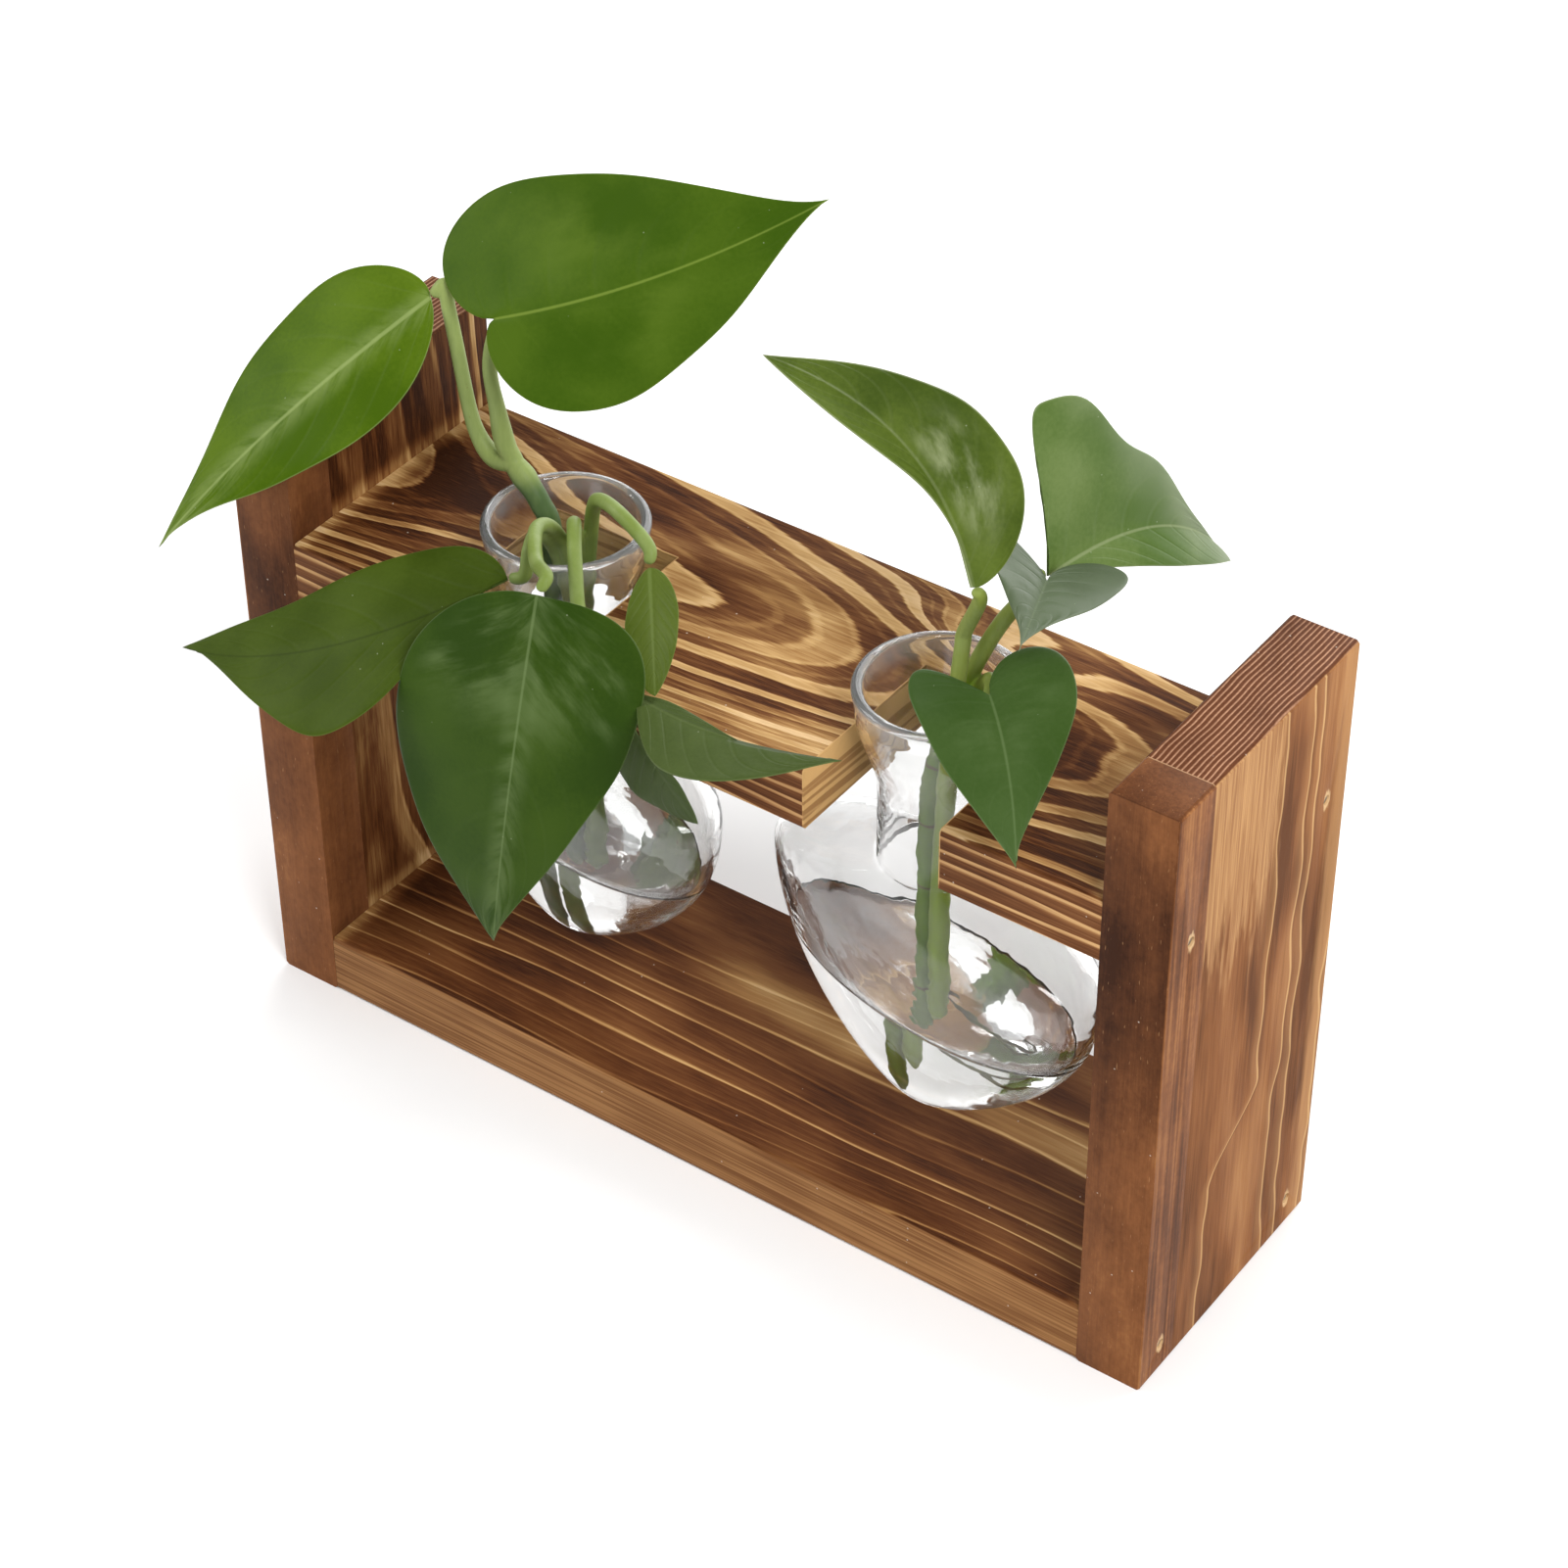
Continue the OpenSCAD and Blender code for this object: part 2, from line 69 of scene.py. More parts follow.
# Sizes of the cuttings, in millimetres
SPREAD, STEM_R, STALK_R, LEAF_GAP, BLADE_T, BEND_IN = 100, 2.7, 1.9, 0.25, 0.9, 5

# Stems inside a vase: shares of the bore's radius across, and of the inner height up
LEFT_FRONT_IN = [[-0.1, 0, 0.02], [-0.25, 0, 0.45], [-0.3, -0.05, 0.75], [-0.28, -0.08, 0.96]]
LEFT_BACK_IN = [[0.35, 0.05, 0.03], [0.3, 0.05, 0.45], [0.27, 0, 0.75], [0.25, -0.05, 0.84]]
RIGHT_FRONT_IN = [[0.06, 0.04, 0.11], [0.06, 0.04, 0.52], [0.14, 0.04, 0.77], [0.27, 0.04, 0.96]]
RIGHT_BACK_IN = [[-0.3, 0.12, 0.025], [-0.5, 0.42, 0.47], [-0.5, 0.42, 0.63], [-0.36, 0.42, 0.77],
                 [0.15, 0.5, 0.96]]

# Where stems and stalks run above the mouth's centre: shares of the spread
LEFT_FRONT_OUT = [[-0.065, -0.015, 0.03], [-0.1, -0.015, 0.075], [-0.14, -0.015, 0.115]]
RIGHT_FRONT_OUT = [[0.043, 0.005, 0.05], [0.051, 0.01, 0.16]]
RIGHT_BACK_OUT = [[0.078, 0.06, 0.1], [0.138, 0.05, 0.22], [0.198, 0.04, 0.31]]

# Each stalk's way from its stem to its leaf: its points inside the vase, then outside
LEFT_WAYS = [
    ([], [[-0.14, -0.015, 0.115], [-0.2, -0.015, 0.108], [-0.243, -0.015, 0.148],
          [-0.27, -0.015, 0.225], [-0.308, -0.005, 0.395], [-0.333, 0.005, 0.48]]),
    ([], [[-0.135, -0.01, 0.113], [-0.163, -0.015, 0.16], [-0.183, -0.015, 0.26],
          [-0.2, -0.013, 0.36], [-0.198, 0.005, 0.44]]),
    ([[0.2, -0.08, 0.78], [0.14, -0.5, 0.96]], [[0.035, -0.15, 0.056], [0.07, -0.225, 0.07]]),
    ([[0.3, -0.1, 0.8], [0.3, -0.45, 0.97]], [[0.052, -0.125, 0.071], [0.072, -0.2, 0.111],
                                              [0.166, -0.317, 0.13]]),
    ([[0.32, 0, 0.76], [0.6, -0.05, 0.97]], [[0.12, -0.04, 0.101], [0.165, -0.07, 0.161],
                                             [0.252, -0.105, 0.176]]),
    ([[0.3, -0.02, 0.81], [0.5, -0.28, 0.97]], [[0.1, -0.09, 0.066], [0.14, -0.14, 0.116],
                                                [0.207, -0.225, 0.091], [0.3, -0.33, 0.011],
                                                [0.38, -0.38, -0.045]]),
    ([], [[0.3, -0.33, 0.011], [0.345, -0.34, -0.09]])]
RIGHT_WAYS = [
    ([], [[0.051, 0.01, 0.16]]),
    ([], [[0.198, 0.04, 0.31]]),
    ([], [[0.198, 0.04, 0.31]]),
    ([[0.15, 0.5, 0.92]], [[0.088, 0.045, 0.011], [0.138, -0.005, 0.066]])]

# Each leaf: root, tip and facing in shares of the spread, bow, lift of the margins and bend of
# the midrib in shares of its length, and how its stalk arrives: along the midrib, or from below
LEAVES = {"left": [
    ([-0.378, -0.007, 0.492], [-0.888, -0.497, -0.158], [0.25, -0.3, 1], 0.1, -0.15, 0.04, [1, 0]),
    ([-0.162, -0.03, 0.525], [0.488, 0.41, 0.855], [0.3, -0.6, 0.75], 0.05, -0.12, -0.06, [0, 1]),
    ([0.025, -0.26, -0.015], [-0.805, -0.54, -0.405], [0, -0.5, 0.85], 0.07, -0.12, 0.13, [1, 0]),
    ([0.26, -0.434, 0.139], [0.19, -0.584, -0.841], [0.1, -1, 0.3], 0.07, -0.15, 0.03,
     [0.75, 0.65]),
    ([0.38, -0.165, 0.11], [0.51, -0.325, -0.11], [0.5, -0.6, 0.6], 0.05, -0.15, 0, [1, 0]),
    ([0.505, -0.395, -0.06], [1.11, -0.43, 0.045], [0, -0.2, 1], 0.04, 0.1, -0.09, [1, 0]),
    ([0.431, -0.332, -0.213], [0.631, -0.332, -0.433], [-0.2, -0.9, 0.3], 0.03, -0.1, 0, [1, 0])],
    "right": [
    ([0.113, -0.057, 0.352], [-0.347, -0.207, 0.872], [0.35, -0.5, 0.75], 0.05, 0.5, -0.13,
     [0.82, 0.57]),
    ([0.217, 0.092, 0.338], [0.357, 0.682, 0.088], [0.5, -0.6, 0.5], 0.08, 0.25, 0.15, [0, 1]),
    ([0.262, 0.01, 0.395], [0.392, -0.31, 0.455], [0, 0.2, 1], 0, -0.2, 0, [0, 1]),
    ([0.19, -0.095, 0.11], [0.46, -0.395, -0.06], [0.2, -0.3, 0.9], 0.05, 0.12, 0.03, [0, 1])]}

# Each leaf's left and right margin: widest width as a share of its length, fullness towards the
# root, fullness towards the tip, and how far the lobe reaches back
MARGINS = {"left": [
    ([0.22, 0.9, 2, 0.04], [0.2, 0.9, 1.6, 0]),
    ([0.35, 0.85, 1.4, 0.12], [0.36, 0.75, 1.75, 0.23]),
    ([0.12, 0.7, 2.7, 0], [0.36, 1, 1.5, -0.1]),
    ([0.33, 0.8, 1.05, 0], [0.29, 0.5, 1.3, 0.06]),
    ([0.21, 0.75, 0.7, 0], [0.21, 0.5, 0.85, 0]),
    ([0.35, 1.2, 1.15, 0], [-0.09, 2.3, 1.3, -0.05]),
    ([0.45, 0.7, 1, 0], [0.1, 1.75, 1, 0])],
    "right": [
    ([0.35, 0.75, 1.1, 0.07], [-0.08, 1.3, 3, 0]),
    ([-0.02, 0.9, 3, 0], [0.61, 0.33, 1.5, 0.3]),
    ([0.56, 0.55, 2.45, 1], [0.47, 0.85, 2.6, 0.64]),
    ([0.41, 0.45, 1.35, 0.31], [0.44, 0.95, 2, 0.4])]}
LOBE_POWERS = (0.5, 2.5)
SHOULDER_HUMP = (0.4, 4.5)
STATION_POWER = 1.5


# Meshes
def link(name, data):
    """A new object of the scene that carries the data."""
    piece = bpy.data.objects.new(name, data)
    scene.collection.objects.link(piece)
    return piece


def smooth_faces(mesh):
    mesh.polygons.foreach_set("use_smooth", np.full(len(mesh.polygons), True))


def make_mesh(name, points_mm, quads, caps=()):
    """A mesh object at the origin: points in millimetres, quads as an index array, and caps as
    lists of indices."""
    mesh = bpy.data.meshes.new(name)
    faces = [tuple(q) for q in np.asarray(quads).tolist()] + [tuple(c) for c in caps]
    mesh.from_pydata((np.asarray(points_mm, float) * MM).tolist(), [], faces)
    mesh.validate()
    smooth_faces(mesh)
    mesh.update()
    return link(name, mesh)


def ring_quads(n, m):
    """Quads between n rings of m points each: corner (i, j), its neighbour along the ring, and
    the same two on the next ring. A ring's last point joins its first."""
    i, j = np.meshgrid(np.arange(n - 1), np.arange(m), indexing="ij")
    k = (j + 1) % m
    return np.stack([i * m + j, i * m + k, (i + 1) * m + k, (i + 1) * m + j], -1).reshape(-1, 4)


def end_caps(n, m):
    """The two faces that close the first and the last of n rings of m points each."""
    return [list(range(m))[::-1], list(range((n - 1) * m, n * m))]


def ring_mesh(name, points_mm, m):
    """A closed skin over rings of m points each, listed one ring after the other."""
    n = len(points_mm) // m
    return make_mesh(name, points_mm, ring_quads(n, m), end_caps(n, m))


def finish_piece(piece, body, slot, material, *nodes):
    """Gives a piece its material, its body and the CAD nodes that it stands for. Its slot is not used.
    """
    piece.data.materials.clear()
    piece.data.materials.append(material)
    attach(piece, body)
    if nodes:
        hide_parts(*nodes)
    return piece


def unit(v):
    return v / np.linalg.norm(v, axis=-1, keepdims=True)


# Node materials
class Shade:
    """Builds one node material. Most calls add nodes and give their output socket. The axes are
    the frame's in millimetres, and colour is the base colour so far."""

    def __init__(self, name):
        self.material = bpy.data.materials.new(name)
        self.material.use_nodes = True
        self.tree = self.material.node_tree
        self.tree.nodes.clear()
        self.surface = self.node("BsdfPrincipled")
        self.node("OutputMaterial", Surface=self.surface.outputs["BSDF"])
        coords = self.node("TexCoord").outputs["Object"]
        place = self.node("Mapping", Vector=coords, Scale=(1 / MM,) * 3).outputs["Vector"]
        self.axes = self.split(place)
        self.colour = None

    def put(self, socket, value):
        if isinstance(value, bpy.types.NodeSocket):
            self.tree.links.new(value, socket)
        else:
            socket.default_value = value

    def fill(self, node, inputs):
        for name, value in inputs.items():
            self.put(node.inputs[name.replace("_", " ")], value)
        return node

    def node(self, kind, **inputs):
        return self.fill(self.tree.nodes.new("ShaderNode" + kind), inputs)

    def math(self, op, a, b=0):
        node = self.node("Math")
        node.operation = op
        self.put(node.inputs[0], a)
        self.put(node.inputs[1], b)
        return node.outputs[0]

    def add(self, *values):
        total = values[0]
        for value in values[1:]:
            total = self.math("ADD", total, value)
        return total

    def mul(self, *values):
        total = values[0]
        for value in values[1:]:
            total = self.math("MULTIPLY", total, value)
        return total

    def sub(self, a, b):
        return self.math("SUBTRACT", a, b)

    def div(self, a, b):
        return self.math("DIVIDE", a, b)

    def abs(self, a):
        return self.math("ABSOLUTE", a)

    def hypot(self, a, b):
        return self.math("SQRT", self.add(self.mul(a, a), self.mul(b, b)))

    def swing(self, value, size):
        """How far a noise value lies from its middle, times a size."""
        return self.mul(self.sub(value, 0.5), size)

    def split(self, vector):
        return self.node("SeparateXYZ", Vector=vector).outputs[:3]

    def join(self, x, y, z):
        return self.node("CombineXYZ", X=x, Y=y, Z=z).outputs[0]

    def noise(self, vector, detail=2, rough=0.5, colour=False):
        node = self.node("TexNoise", Vector=vector, Scale=1, Detail=detail, Roughness=rough)
        return node.outputs["Color" if colour else "Fac"]

    def cells(self, *axes, detail=2, rough=0.5, colour=False):
        """Noise on three axes. Each is a fixed number, or a coordinate with the length of its
        cells in millimetres and, where given, a shift."""
        places = []
        for axis in axes:
            if isinstance(axis, tuple):
                value, length, *shift = axis
                axis = self.add(self.div(value, length), *shift)
            places.append(axis)
        return self.noise(self.join(*places), detail, rough, colour)

    def streaks(self, a, c, t, long, wide, seed=0, detail=2, rough=0.5):
        """Noise drawn out along a: cells are long along it and wide across it, in millimetres."""
        return self.cells((a, long), (c, wide, seed), (t, wide), detail=detail, rough=rough)

    def step(self, value, low, high, reverse=False):
        """A smooth step from 0 at low to 1 at high, or the other way round."""
        node = self.node("MapRange", Value=value, From_Min=low, From_Max=high,
                         To_Min=float(reverse), To_Max=float(not reverse))
        node.interpolation_type = "SMOOTHSTEP"
        return node.outputs["Result"]

    def ridge(self, value, foot, crest, edge, end):
        """A smooth rise from foot to crest and a smooth fall from edge to end."""
        return self.mul(self.step(value, foot, crest), self.step(value, edge, end, reverse=True))

    def blob(self, a, c, middle_a, middle_c, reach_a, reach_c):
        """1 at a middle on two axes, falling off as a Gaussian with a reach along each."""
        da = self.div(self.sub(a, middle_a), reach_a)
        dc = self.div(self.sub(c, middle_c), reach_c)
        return self.math("EXPONENT", self.mul(self.add(self.mul(da, da), self.mul(dc, dc)), -1))

    def ramp(self, value, *stops):
        node = self.node("ValToRGB", Fac=value)
        ends = node.color_ramp.elements
        while len(ends) < len(stops):
            ends.new(0.5)
        for end, (place, colour) in zip(ends, stops):
            end.position, end.color = place, (*colour, 1)
        return node.outputs["Color"]

    def mix(self, share, a, b):
        """Colour a with a share of colour b."""
        node = self.node("Mix")
        node.data_type = "RGBA"
        self.put(node.inputs[0], share)
        for socket, value in ((node.inputs[6], a), (node.inputs[7], b)):
            self.put(socket, (*value, 1) if isinstance(value, tuple) else value)
        return node.outputs[2]

    def paint(self, tone, *shares):
        """Lays a tone over the colour so far, by the product of the shares."""
        self.colour = self.mix(self.mul(*shares), self.colour, tone)

    def attribute(self, name):
        node = self.node("Attribute")
        node.attribute_name = name
        return node.outputs["Fac"]

    def specks(self, size, chance, seed):
        """Rare round specks: 1 inside a speck and 0 elsewhere, one in each chosen cell."""
        x, y, z = self.axes
        cells = self.node("TexVoronoi", Vector=self.join(self.add(x, seed), y, z), Scale=1 / (size * 9))
        near = self.step(cells.outputs["Distance"], 0.05, 0.1, reverse=True)
        draw = self.split(cells.outputs["Color"])[0]
        return self.mul(near, self.step(draw, chance, chance + 0.01, reverse=True))

    def bump(self, height, distance_mm, strength=1):
        node = self.node("Bump", Height=height, Distance=distance_mm * MM, Strength=strength)
        self.set(Normal=node.outputs["Normal"])

    def set(self, **values):
        self.fill(self.surface, values)
        return self.material


# Tones of the wood, from charred to raw, and of the dust on it
CHAR = (0.032, 0.009, 0.003)
DARK = (0.076, 0.023, 0.006)
BROWN = (0.15, 0.056, 0.017)
TAN = (0.33, 0.17, 0.058)
PALE = (0.56, 0.35, 0.145)
TORN = (0.68, 0.46, 0.24)
PALE_LINE = (0.62, 0.38, 0.17)
DUST = (0.7, 0.62, 0.52)

# Tones over a value from 0 to 1
TORCHED = ((0.016, CHAR), (0.16, DARK), (0.34, BROWN), (0.56, TAN), (0.78, PALE), (1, TORN))
SHELF_EDGE = ((0.05, (0.05, 0.018, 0.008)), (0.35, (0.15, 0.057, 0.022)),
              (0.62, (0.3, 0.14, 0.055)), (0.95, PALE_LINE))
OUTER_FACE = ((0.1, (0.11, 0.04, 0.014)), (0.4, (0.23, 0.09, 0.032)),
              (0.7, (0.34, 0.155, 0.058)), (0.95, (0.46, 0.25, 0.1)))
STRIP = ((0.15, (0.04, 0.013, 0.005)), (0.42, (0.115, 0.04, 0.014)),
         (0.65, (0.21, 0.078, 0.027)), (0.9, (0.34, 0.15, 0.052)))

# How far the brads sit from the stand's front and back, and their places on a panel
BRAD_IN = 8.8
BRAD_YZ = [(y, z) for y in (FRONT_Y + BRAD_IN, -FRONT_Y - BRAD_IN)
           for z in (BOARD_T / 2, SHELF_TOP - BOARD_T / 2)]

# Round edges of the boards, and the depths under a face where its own look is full and where it ends
EDGE_WEAR, SKIN_NEAR, SKIN_FAR = 0.3, 0.25, 0.6

# Pale lines on a panel's outer face: place across at the foot, jog upwards and its height
OUTER_LINES = ((-13, 21, 55), (17, 3, 60), (24, 0.5, 90), (37, 4, 100))


def ring_phase(s, a, c, t, pith, slope, spacing, seed, sway_mm, sway_long, knots):
    """Counts the growth rings out from the pith. They are cylinders round a pith line that runs
    along the grain with a small slope, waved by noise: phase = distance / spacing."""
    sway = s.cells((a, sway_long), (c, 30, seed), (t, 60), detail=1, rough=0.4, colour=True)
    sway_c, sway_t, _ = s.split(sway)
    off_c = s.add(c, -pith[0], s.swing(sway_c, 2 * sway_mm))
    off_t = s.add(t, -pith[1], s.mul(a, slope), s.swing(sway_t, 2 * sway_mm))
    radius = s.hypot(off_c, off_t)
    for *spot, rise in knots:
        radius = s.add(radius, s.mul(s.blob(a, c, *spot), rise))
    uneven = s.cells((radius, spacing * 2.7), seed, 0, detail=1)
    ragged = s.streaks(a, c, t, 14, 0.7, seed + 14, 3)
    return s.add(s.div(radius, spacing), s.mul(uneven, 1.7), s.swing(ragged, 0.5 / spacing))


def torched_wood(name, along, pith, slope, spacing, seed, *, base, sway_mm, line, gain, scorch_gain,
                 burns, pale, fronts, sway_long=90, mottled=1, knots=()):
    """Softwood scorched with a torch and brushed. In each growth ring a slow rise from dark ends
    in a pale line and a sharp drop; the torch darkens it in clouds and at the burns, spares what
    pale gives, and fronts lays other looks over the cut faces."""
    s = Shade(name)
    x, y, z = s.axes
    a, c, t = {"x": (x, y, z), "z": (z, y, x)}[along]
    phase = ring_phase(s, a, c, t, pith, slope, spacing, seed, sway_mm, sway_long, knots)
    share = s.math("FRACT", phase)
    saw = s.mul(s.add(s.mul(share, share, 0.3), s.mul(s.step(share, line, line + 0.1), 0.7)),
                s.step(share, 0.93, 1, reverse=True))
    minor = s.ridge(s.math("FRACT", s.mul(phase, 3)), 0.6, 0.75, 0.88, 1)
    ring = s.join(s.mul(s.math("FLOOR", phase), 3.7), seed, s.div(a, 150))
    bright = s.step(s.noise(ring, 0), 0.3, 0.7)
    fibre = s.streaks(a, c, t, 7, 0.25, seed, 3, 0.65)
    grain = s.streaks(a, c, t, 20, 0.8, seed + 9, 3, 0.6)
    scorch = s.streaks(a, c, t, 52, 17, seed + 4)
    ends = s.streaks(a, c, t, 26, 3.2, seed + 7, 2, 0.55)
    tone = s.add(s.mul(saw, s.add(0.15, s.mul(bright, gain))), s.mul(minor, 0.13 * mottled),
                 s.swing(scorch, -scorch_gain), s.swing(fibre, 0.6 * mottled),
                 s.swing(ends, 0.5 * mottled), s.swing(grain, 0.6 * mottled), base)
    for *spot, rise in burns:
        tone = s.add(tone, s.mul(s.blob(a, c, *spot), rise))
    tone = s.add(tone, s.mul(pale(s, fibre), 0.4))
    s.colour = s.ramp(s.mul(tone, 0.8), *TORCHED)
    s.paint(BROWN, s.step(fibre, 0.42, 0.7), 0.3)
    fronts(s, fibre)
    s.paint(DUST, s.specks(0.3, 0.1, seed), 0.6)
    s.bump(s.add(s.mul(saw, 0.5), s.mul(fibre, 0.5)), 0.2, 0.5)
    rough = s.add(0.52, s.mul(fibre, 0.16), s.mul(saw, 0.06))
    return s.set(Base_Color=s.colour, Roughness=rough, Specular_IOR_Level=0.05)


def near_shelf_ends(top):
    """The band that the torch missed, along the joints at a shelf's two ends."""
    def pale(s, fibre):
        x, _, z = s.axes
        reach = s.sub(INNER_X, s.abs(x))
        band = s.step(s.add(reach, s.mul(fibre, 9)), 5, 10, reverse=True)
        return s.mul(band, s.step(z, top - 2, top - 0.6))
    return pale


def near_panel_joints(side):
    """The bands that the torch missed on a side panel's inner face, beside the shelves."""
    def pale(s, fibre):
        x, _, z = s.axes
        total = 0
        for level, sign in ((SHELF_TOP, 1), (SHELF_TOP - BOARD_T, -1), (BOARD_T, 1)):
            reach = s.mul(s.sub(z, level), sign)
            band = s.mul(s.step(s.add(reach, s.mul(fibre, 9)), 5.5, 10.5, reverse=True),
                         s.step(reach, -0.4, 0.1))
            total = s.add(total, band)
        return s.mul(total, s.step(s.mul(x, side), INNER_X + 0.4, INNER_X + 1.2, reverse=True))
    return pale


def front_skin(s):
    """1 on the stand's front faces and 0 behind them."""
    return s.step(s.axes[1], FRONT_Y + SKIN_NEAR, FRONT_Y + SKIN_FAR, reverse=True)


def top_skin(s):
    """1 on the panels' top ends and 0 under them."""
    return s.step(s.axes[2], PANEL_H - SKIN_FAR, PANEL_H - SKIN_NEAR)


def torn_rims(s):
    """Torn pale wood round the brads' holes on a panel's outer face."""
    x, y, z = s.axes
    face = s.step(s.abs(x), STAND_W / 2 - 1.5, STAND_W / 2 - 1)
    tear = s.cells((y, 1), (z, 3), (x, 1))
    for brad_y, brad_z in BRAD_YZ:
        far = s.hypot(s.sub(y, brad_y), s.mul(s.sub(z, brad_z), 0.55))
        rim = s.step(s.add(far, s.mul(tear, 1.6)), 1.9, 2.6, reverse=True)
        s.paint(TORN, rim, face, 0.75)


def slot_walls(s, fibre):
    """Raw sawn wood on the slots' walls: pale with thin brown lines along the slot."""
    x, y, z = s.axes
    wall = 0
    for middle, _ in AXIS.values():
        near = s.step(s.abs(s.sub(x, middle)), SLOT_W / 2 + 0.25, SLOT_W / 2 + 0.4, reverse=True)
        wall = s.math("MAXIMUM", wall, near)
    wall = s.mul(wall, s.step(y, FRONT_Y + SLOT_D + 0.2, FRONT_Y + SLOT_D + 0.4, reverse=True))
    lines = s.cells((y, 60), (x, 30), (s.add(z, s.mul(y, 0.06)), 1.7), detail=1)
    raw = s.mix(s.mul(fibre, 0.5), (0.6, 0.37, 0.15), (0.45, 0.25, 0.095))
    raw = s.mix(s.mul(s.step(lines, 0.53, 0.6), 0.7), raw, (0.24, 0.11, 0.04))
    s.paint(raw, wall)


def striped_front(s, fibre):
    """The upper shelf's front edge: brown with four or five pale lines."""
    x, y, z = s.axes
    drift = s.cells((x, 80), 1, (z, 9), detail=1)
    share = s.math("FRACT", s.add(s.div(z, 3.9), s.mul(drift, 1.5)))
    line = s.mul(s.add(s.mul(share, 0.3), s.mul(s.step(share, 0.55, 0.8), 0.7)),
                 s.step(share, 0.92, 1, reverse=True))
    fine = s.streaks(x, z, y, 22, 0.4, 2, 3)
    patches = s.cells((x, 30), 5, (z, 16))
    tone = s.add(s.mul(line, 0.62), s.swing(fine, 0.6), s.swing(patches, 0.6), 0.24)
    s.paint(s.ramp(tone, *SHELF_EDGE), front_skin(s))
    slot_walls(s, fibre)


def planed_front(tone_a, tone_b):
    """A front face that was planed after scorching: fine lines in a pinkish brown."""
    def fronts(s, fibre):
        x, _, z = s.axes
        lines = s.cells((x, 90), 0, (z, 0.75))
        patches = s.cells((x, 38), 3, (z, 14))
        fine = s.mix(s.step(s.add(s.mul(lines, 0.7), s.mul(patches, 0.3)), 0.4, 0.62), tone_a, tone_b)
        s.paint(fine, front_skin(s))
    return fronts


def outer_face(s, side, seed):
    """A panel's outer face: mid brown with a few thin pale lines up the grain, one with a jog, a
    raw patch at the upper front and a paler back edge."""
    x, y, z = s.axes
    y = s.mul(y, side)
    wide = s.cells((z, 75), (y, 19), seed)
    fine = s.streaks(z, y, x, 30, 0.7, seed, 3, 0.6)
    ragged = s.streaks(z, y, x, 26, 2.4, seed + 3, 3, 0.6)
    wander = s.cells((z, 34), (y, 60), seed + 1, detail=1.5)
    face = s.ramp(s.add(s.mul(wide, 1.6), s.mul(fine, 0.5), s.mul(ragged, 0.5), -0.96), *OUTER_FACE)
    raw = s.mul(s.step(s.add(z, s.swing(ragged, 95)), 112, 134),
                s.step(s.add(y, s.swing(ragged, 26)), 2, 9, reverse=True))
    back = s.step(s.add(y, s.swing(ragged, 9)), 30, 36)
    raw_tone = s.mix(s.step(fine, 0.3, 0.7), (0.52, 0.29, 0.125), (0.3, 0.14, 0.058))
    face = s.mix(s.mul(raw, 0.9), face, raw_tone)
    face = s.mix(s.mul(back, 0.6), face, (0.46, 0.24, 0.095))
    for foot, jog, level in OUTER_LINES:
        run = s.add(foot, s.mul(s.step(z, level - 9, level + 12), jog), s.swing(wander, 11),
                    s.swing(ragged, 0.9))
        off = s.sub(y, run)
        line = s.step(s.abs(off), 0.15, 0.6, reverse=True)
        glow = s.ridge(off, -4.5, 0, 0, 0.6)
        shade = s.ridge(off, 0.3, 0.7, 0.7, 2.6)
        face = s.mix(s.mul(glow, 0.4), face, (0.4, 0.2, 0.08))
        face = s.mix(s.mul(shade, 0.4), face, (0.13, 0.05, 0.019))
        face = s.mix(s.mul(line, s.add(0.3, s.mul(wide, 0.6))), face, PALE_LINE)
    return face


def top_end(s, seed):
    """A panel's top end: reddish, crossed by the cut rings' thin lines."""
    x, y, z = s.axes
    wave = s.cells((x, 24), (y, 26), 2)
    lines = s.math("FRACT", s.add(s.div(x, 1.25), s.mul(wave, 2)))
    thin = s.ridge(lines, 0.5, 0.8, 0.86, 1)
    dots = s.cells((x, 0.5), (y, 0.9), (z, 1))
    cloud = s.cells((x, 9), (y, 13), seed)
    cut = s.mix(s.add(s.mul(dots, 0.6), s.mul(cloud, 0.5)), (0.045, 0.012, 0.005), (0.17, 0.06, 0.025))
    clear = s.mul(thin, s.add(0.3, s.mul(cloud, 0.9)), s.add(0.35, s.mul(dots, 1.3)))
    return s.mix(clear, cut, (0.5, 0.27, 0.16))


def panel_faces(side, seed):
    """A side panel's outer face, its top end and the rims of its brads' holes."""
    def fronts(s, fibre):
        outer = s.step(s.mul(s.axes[0], side), STAND_W / 2 - SKIN_FAR, STAND_W / 2 - EDGE_WEAR)
        s.paint(outer_face(s, side, seed), outer)
        s.paint(top_end(s, seed), top_skin(s))
        torn_rims(s)
    return fronts


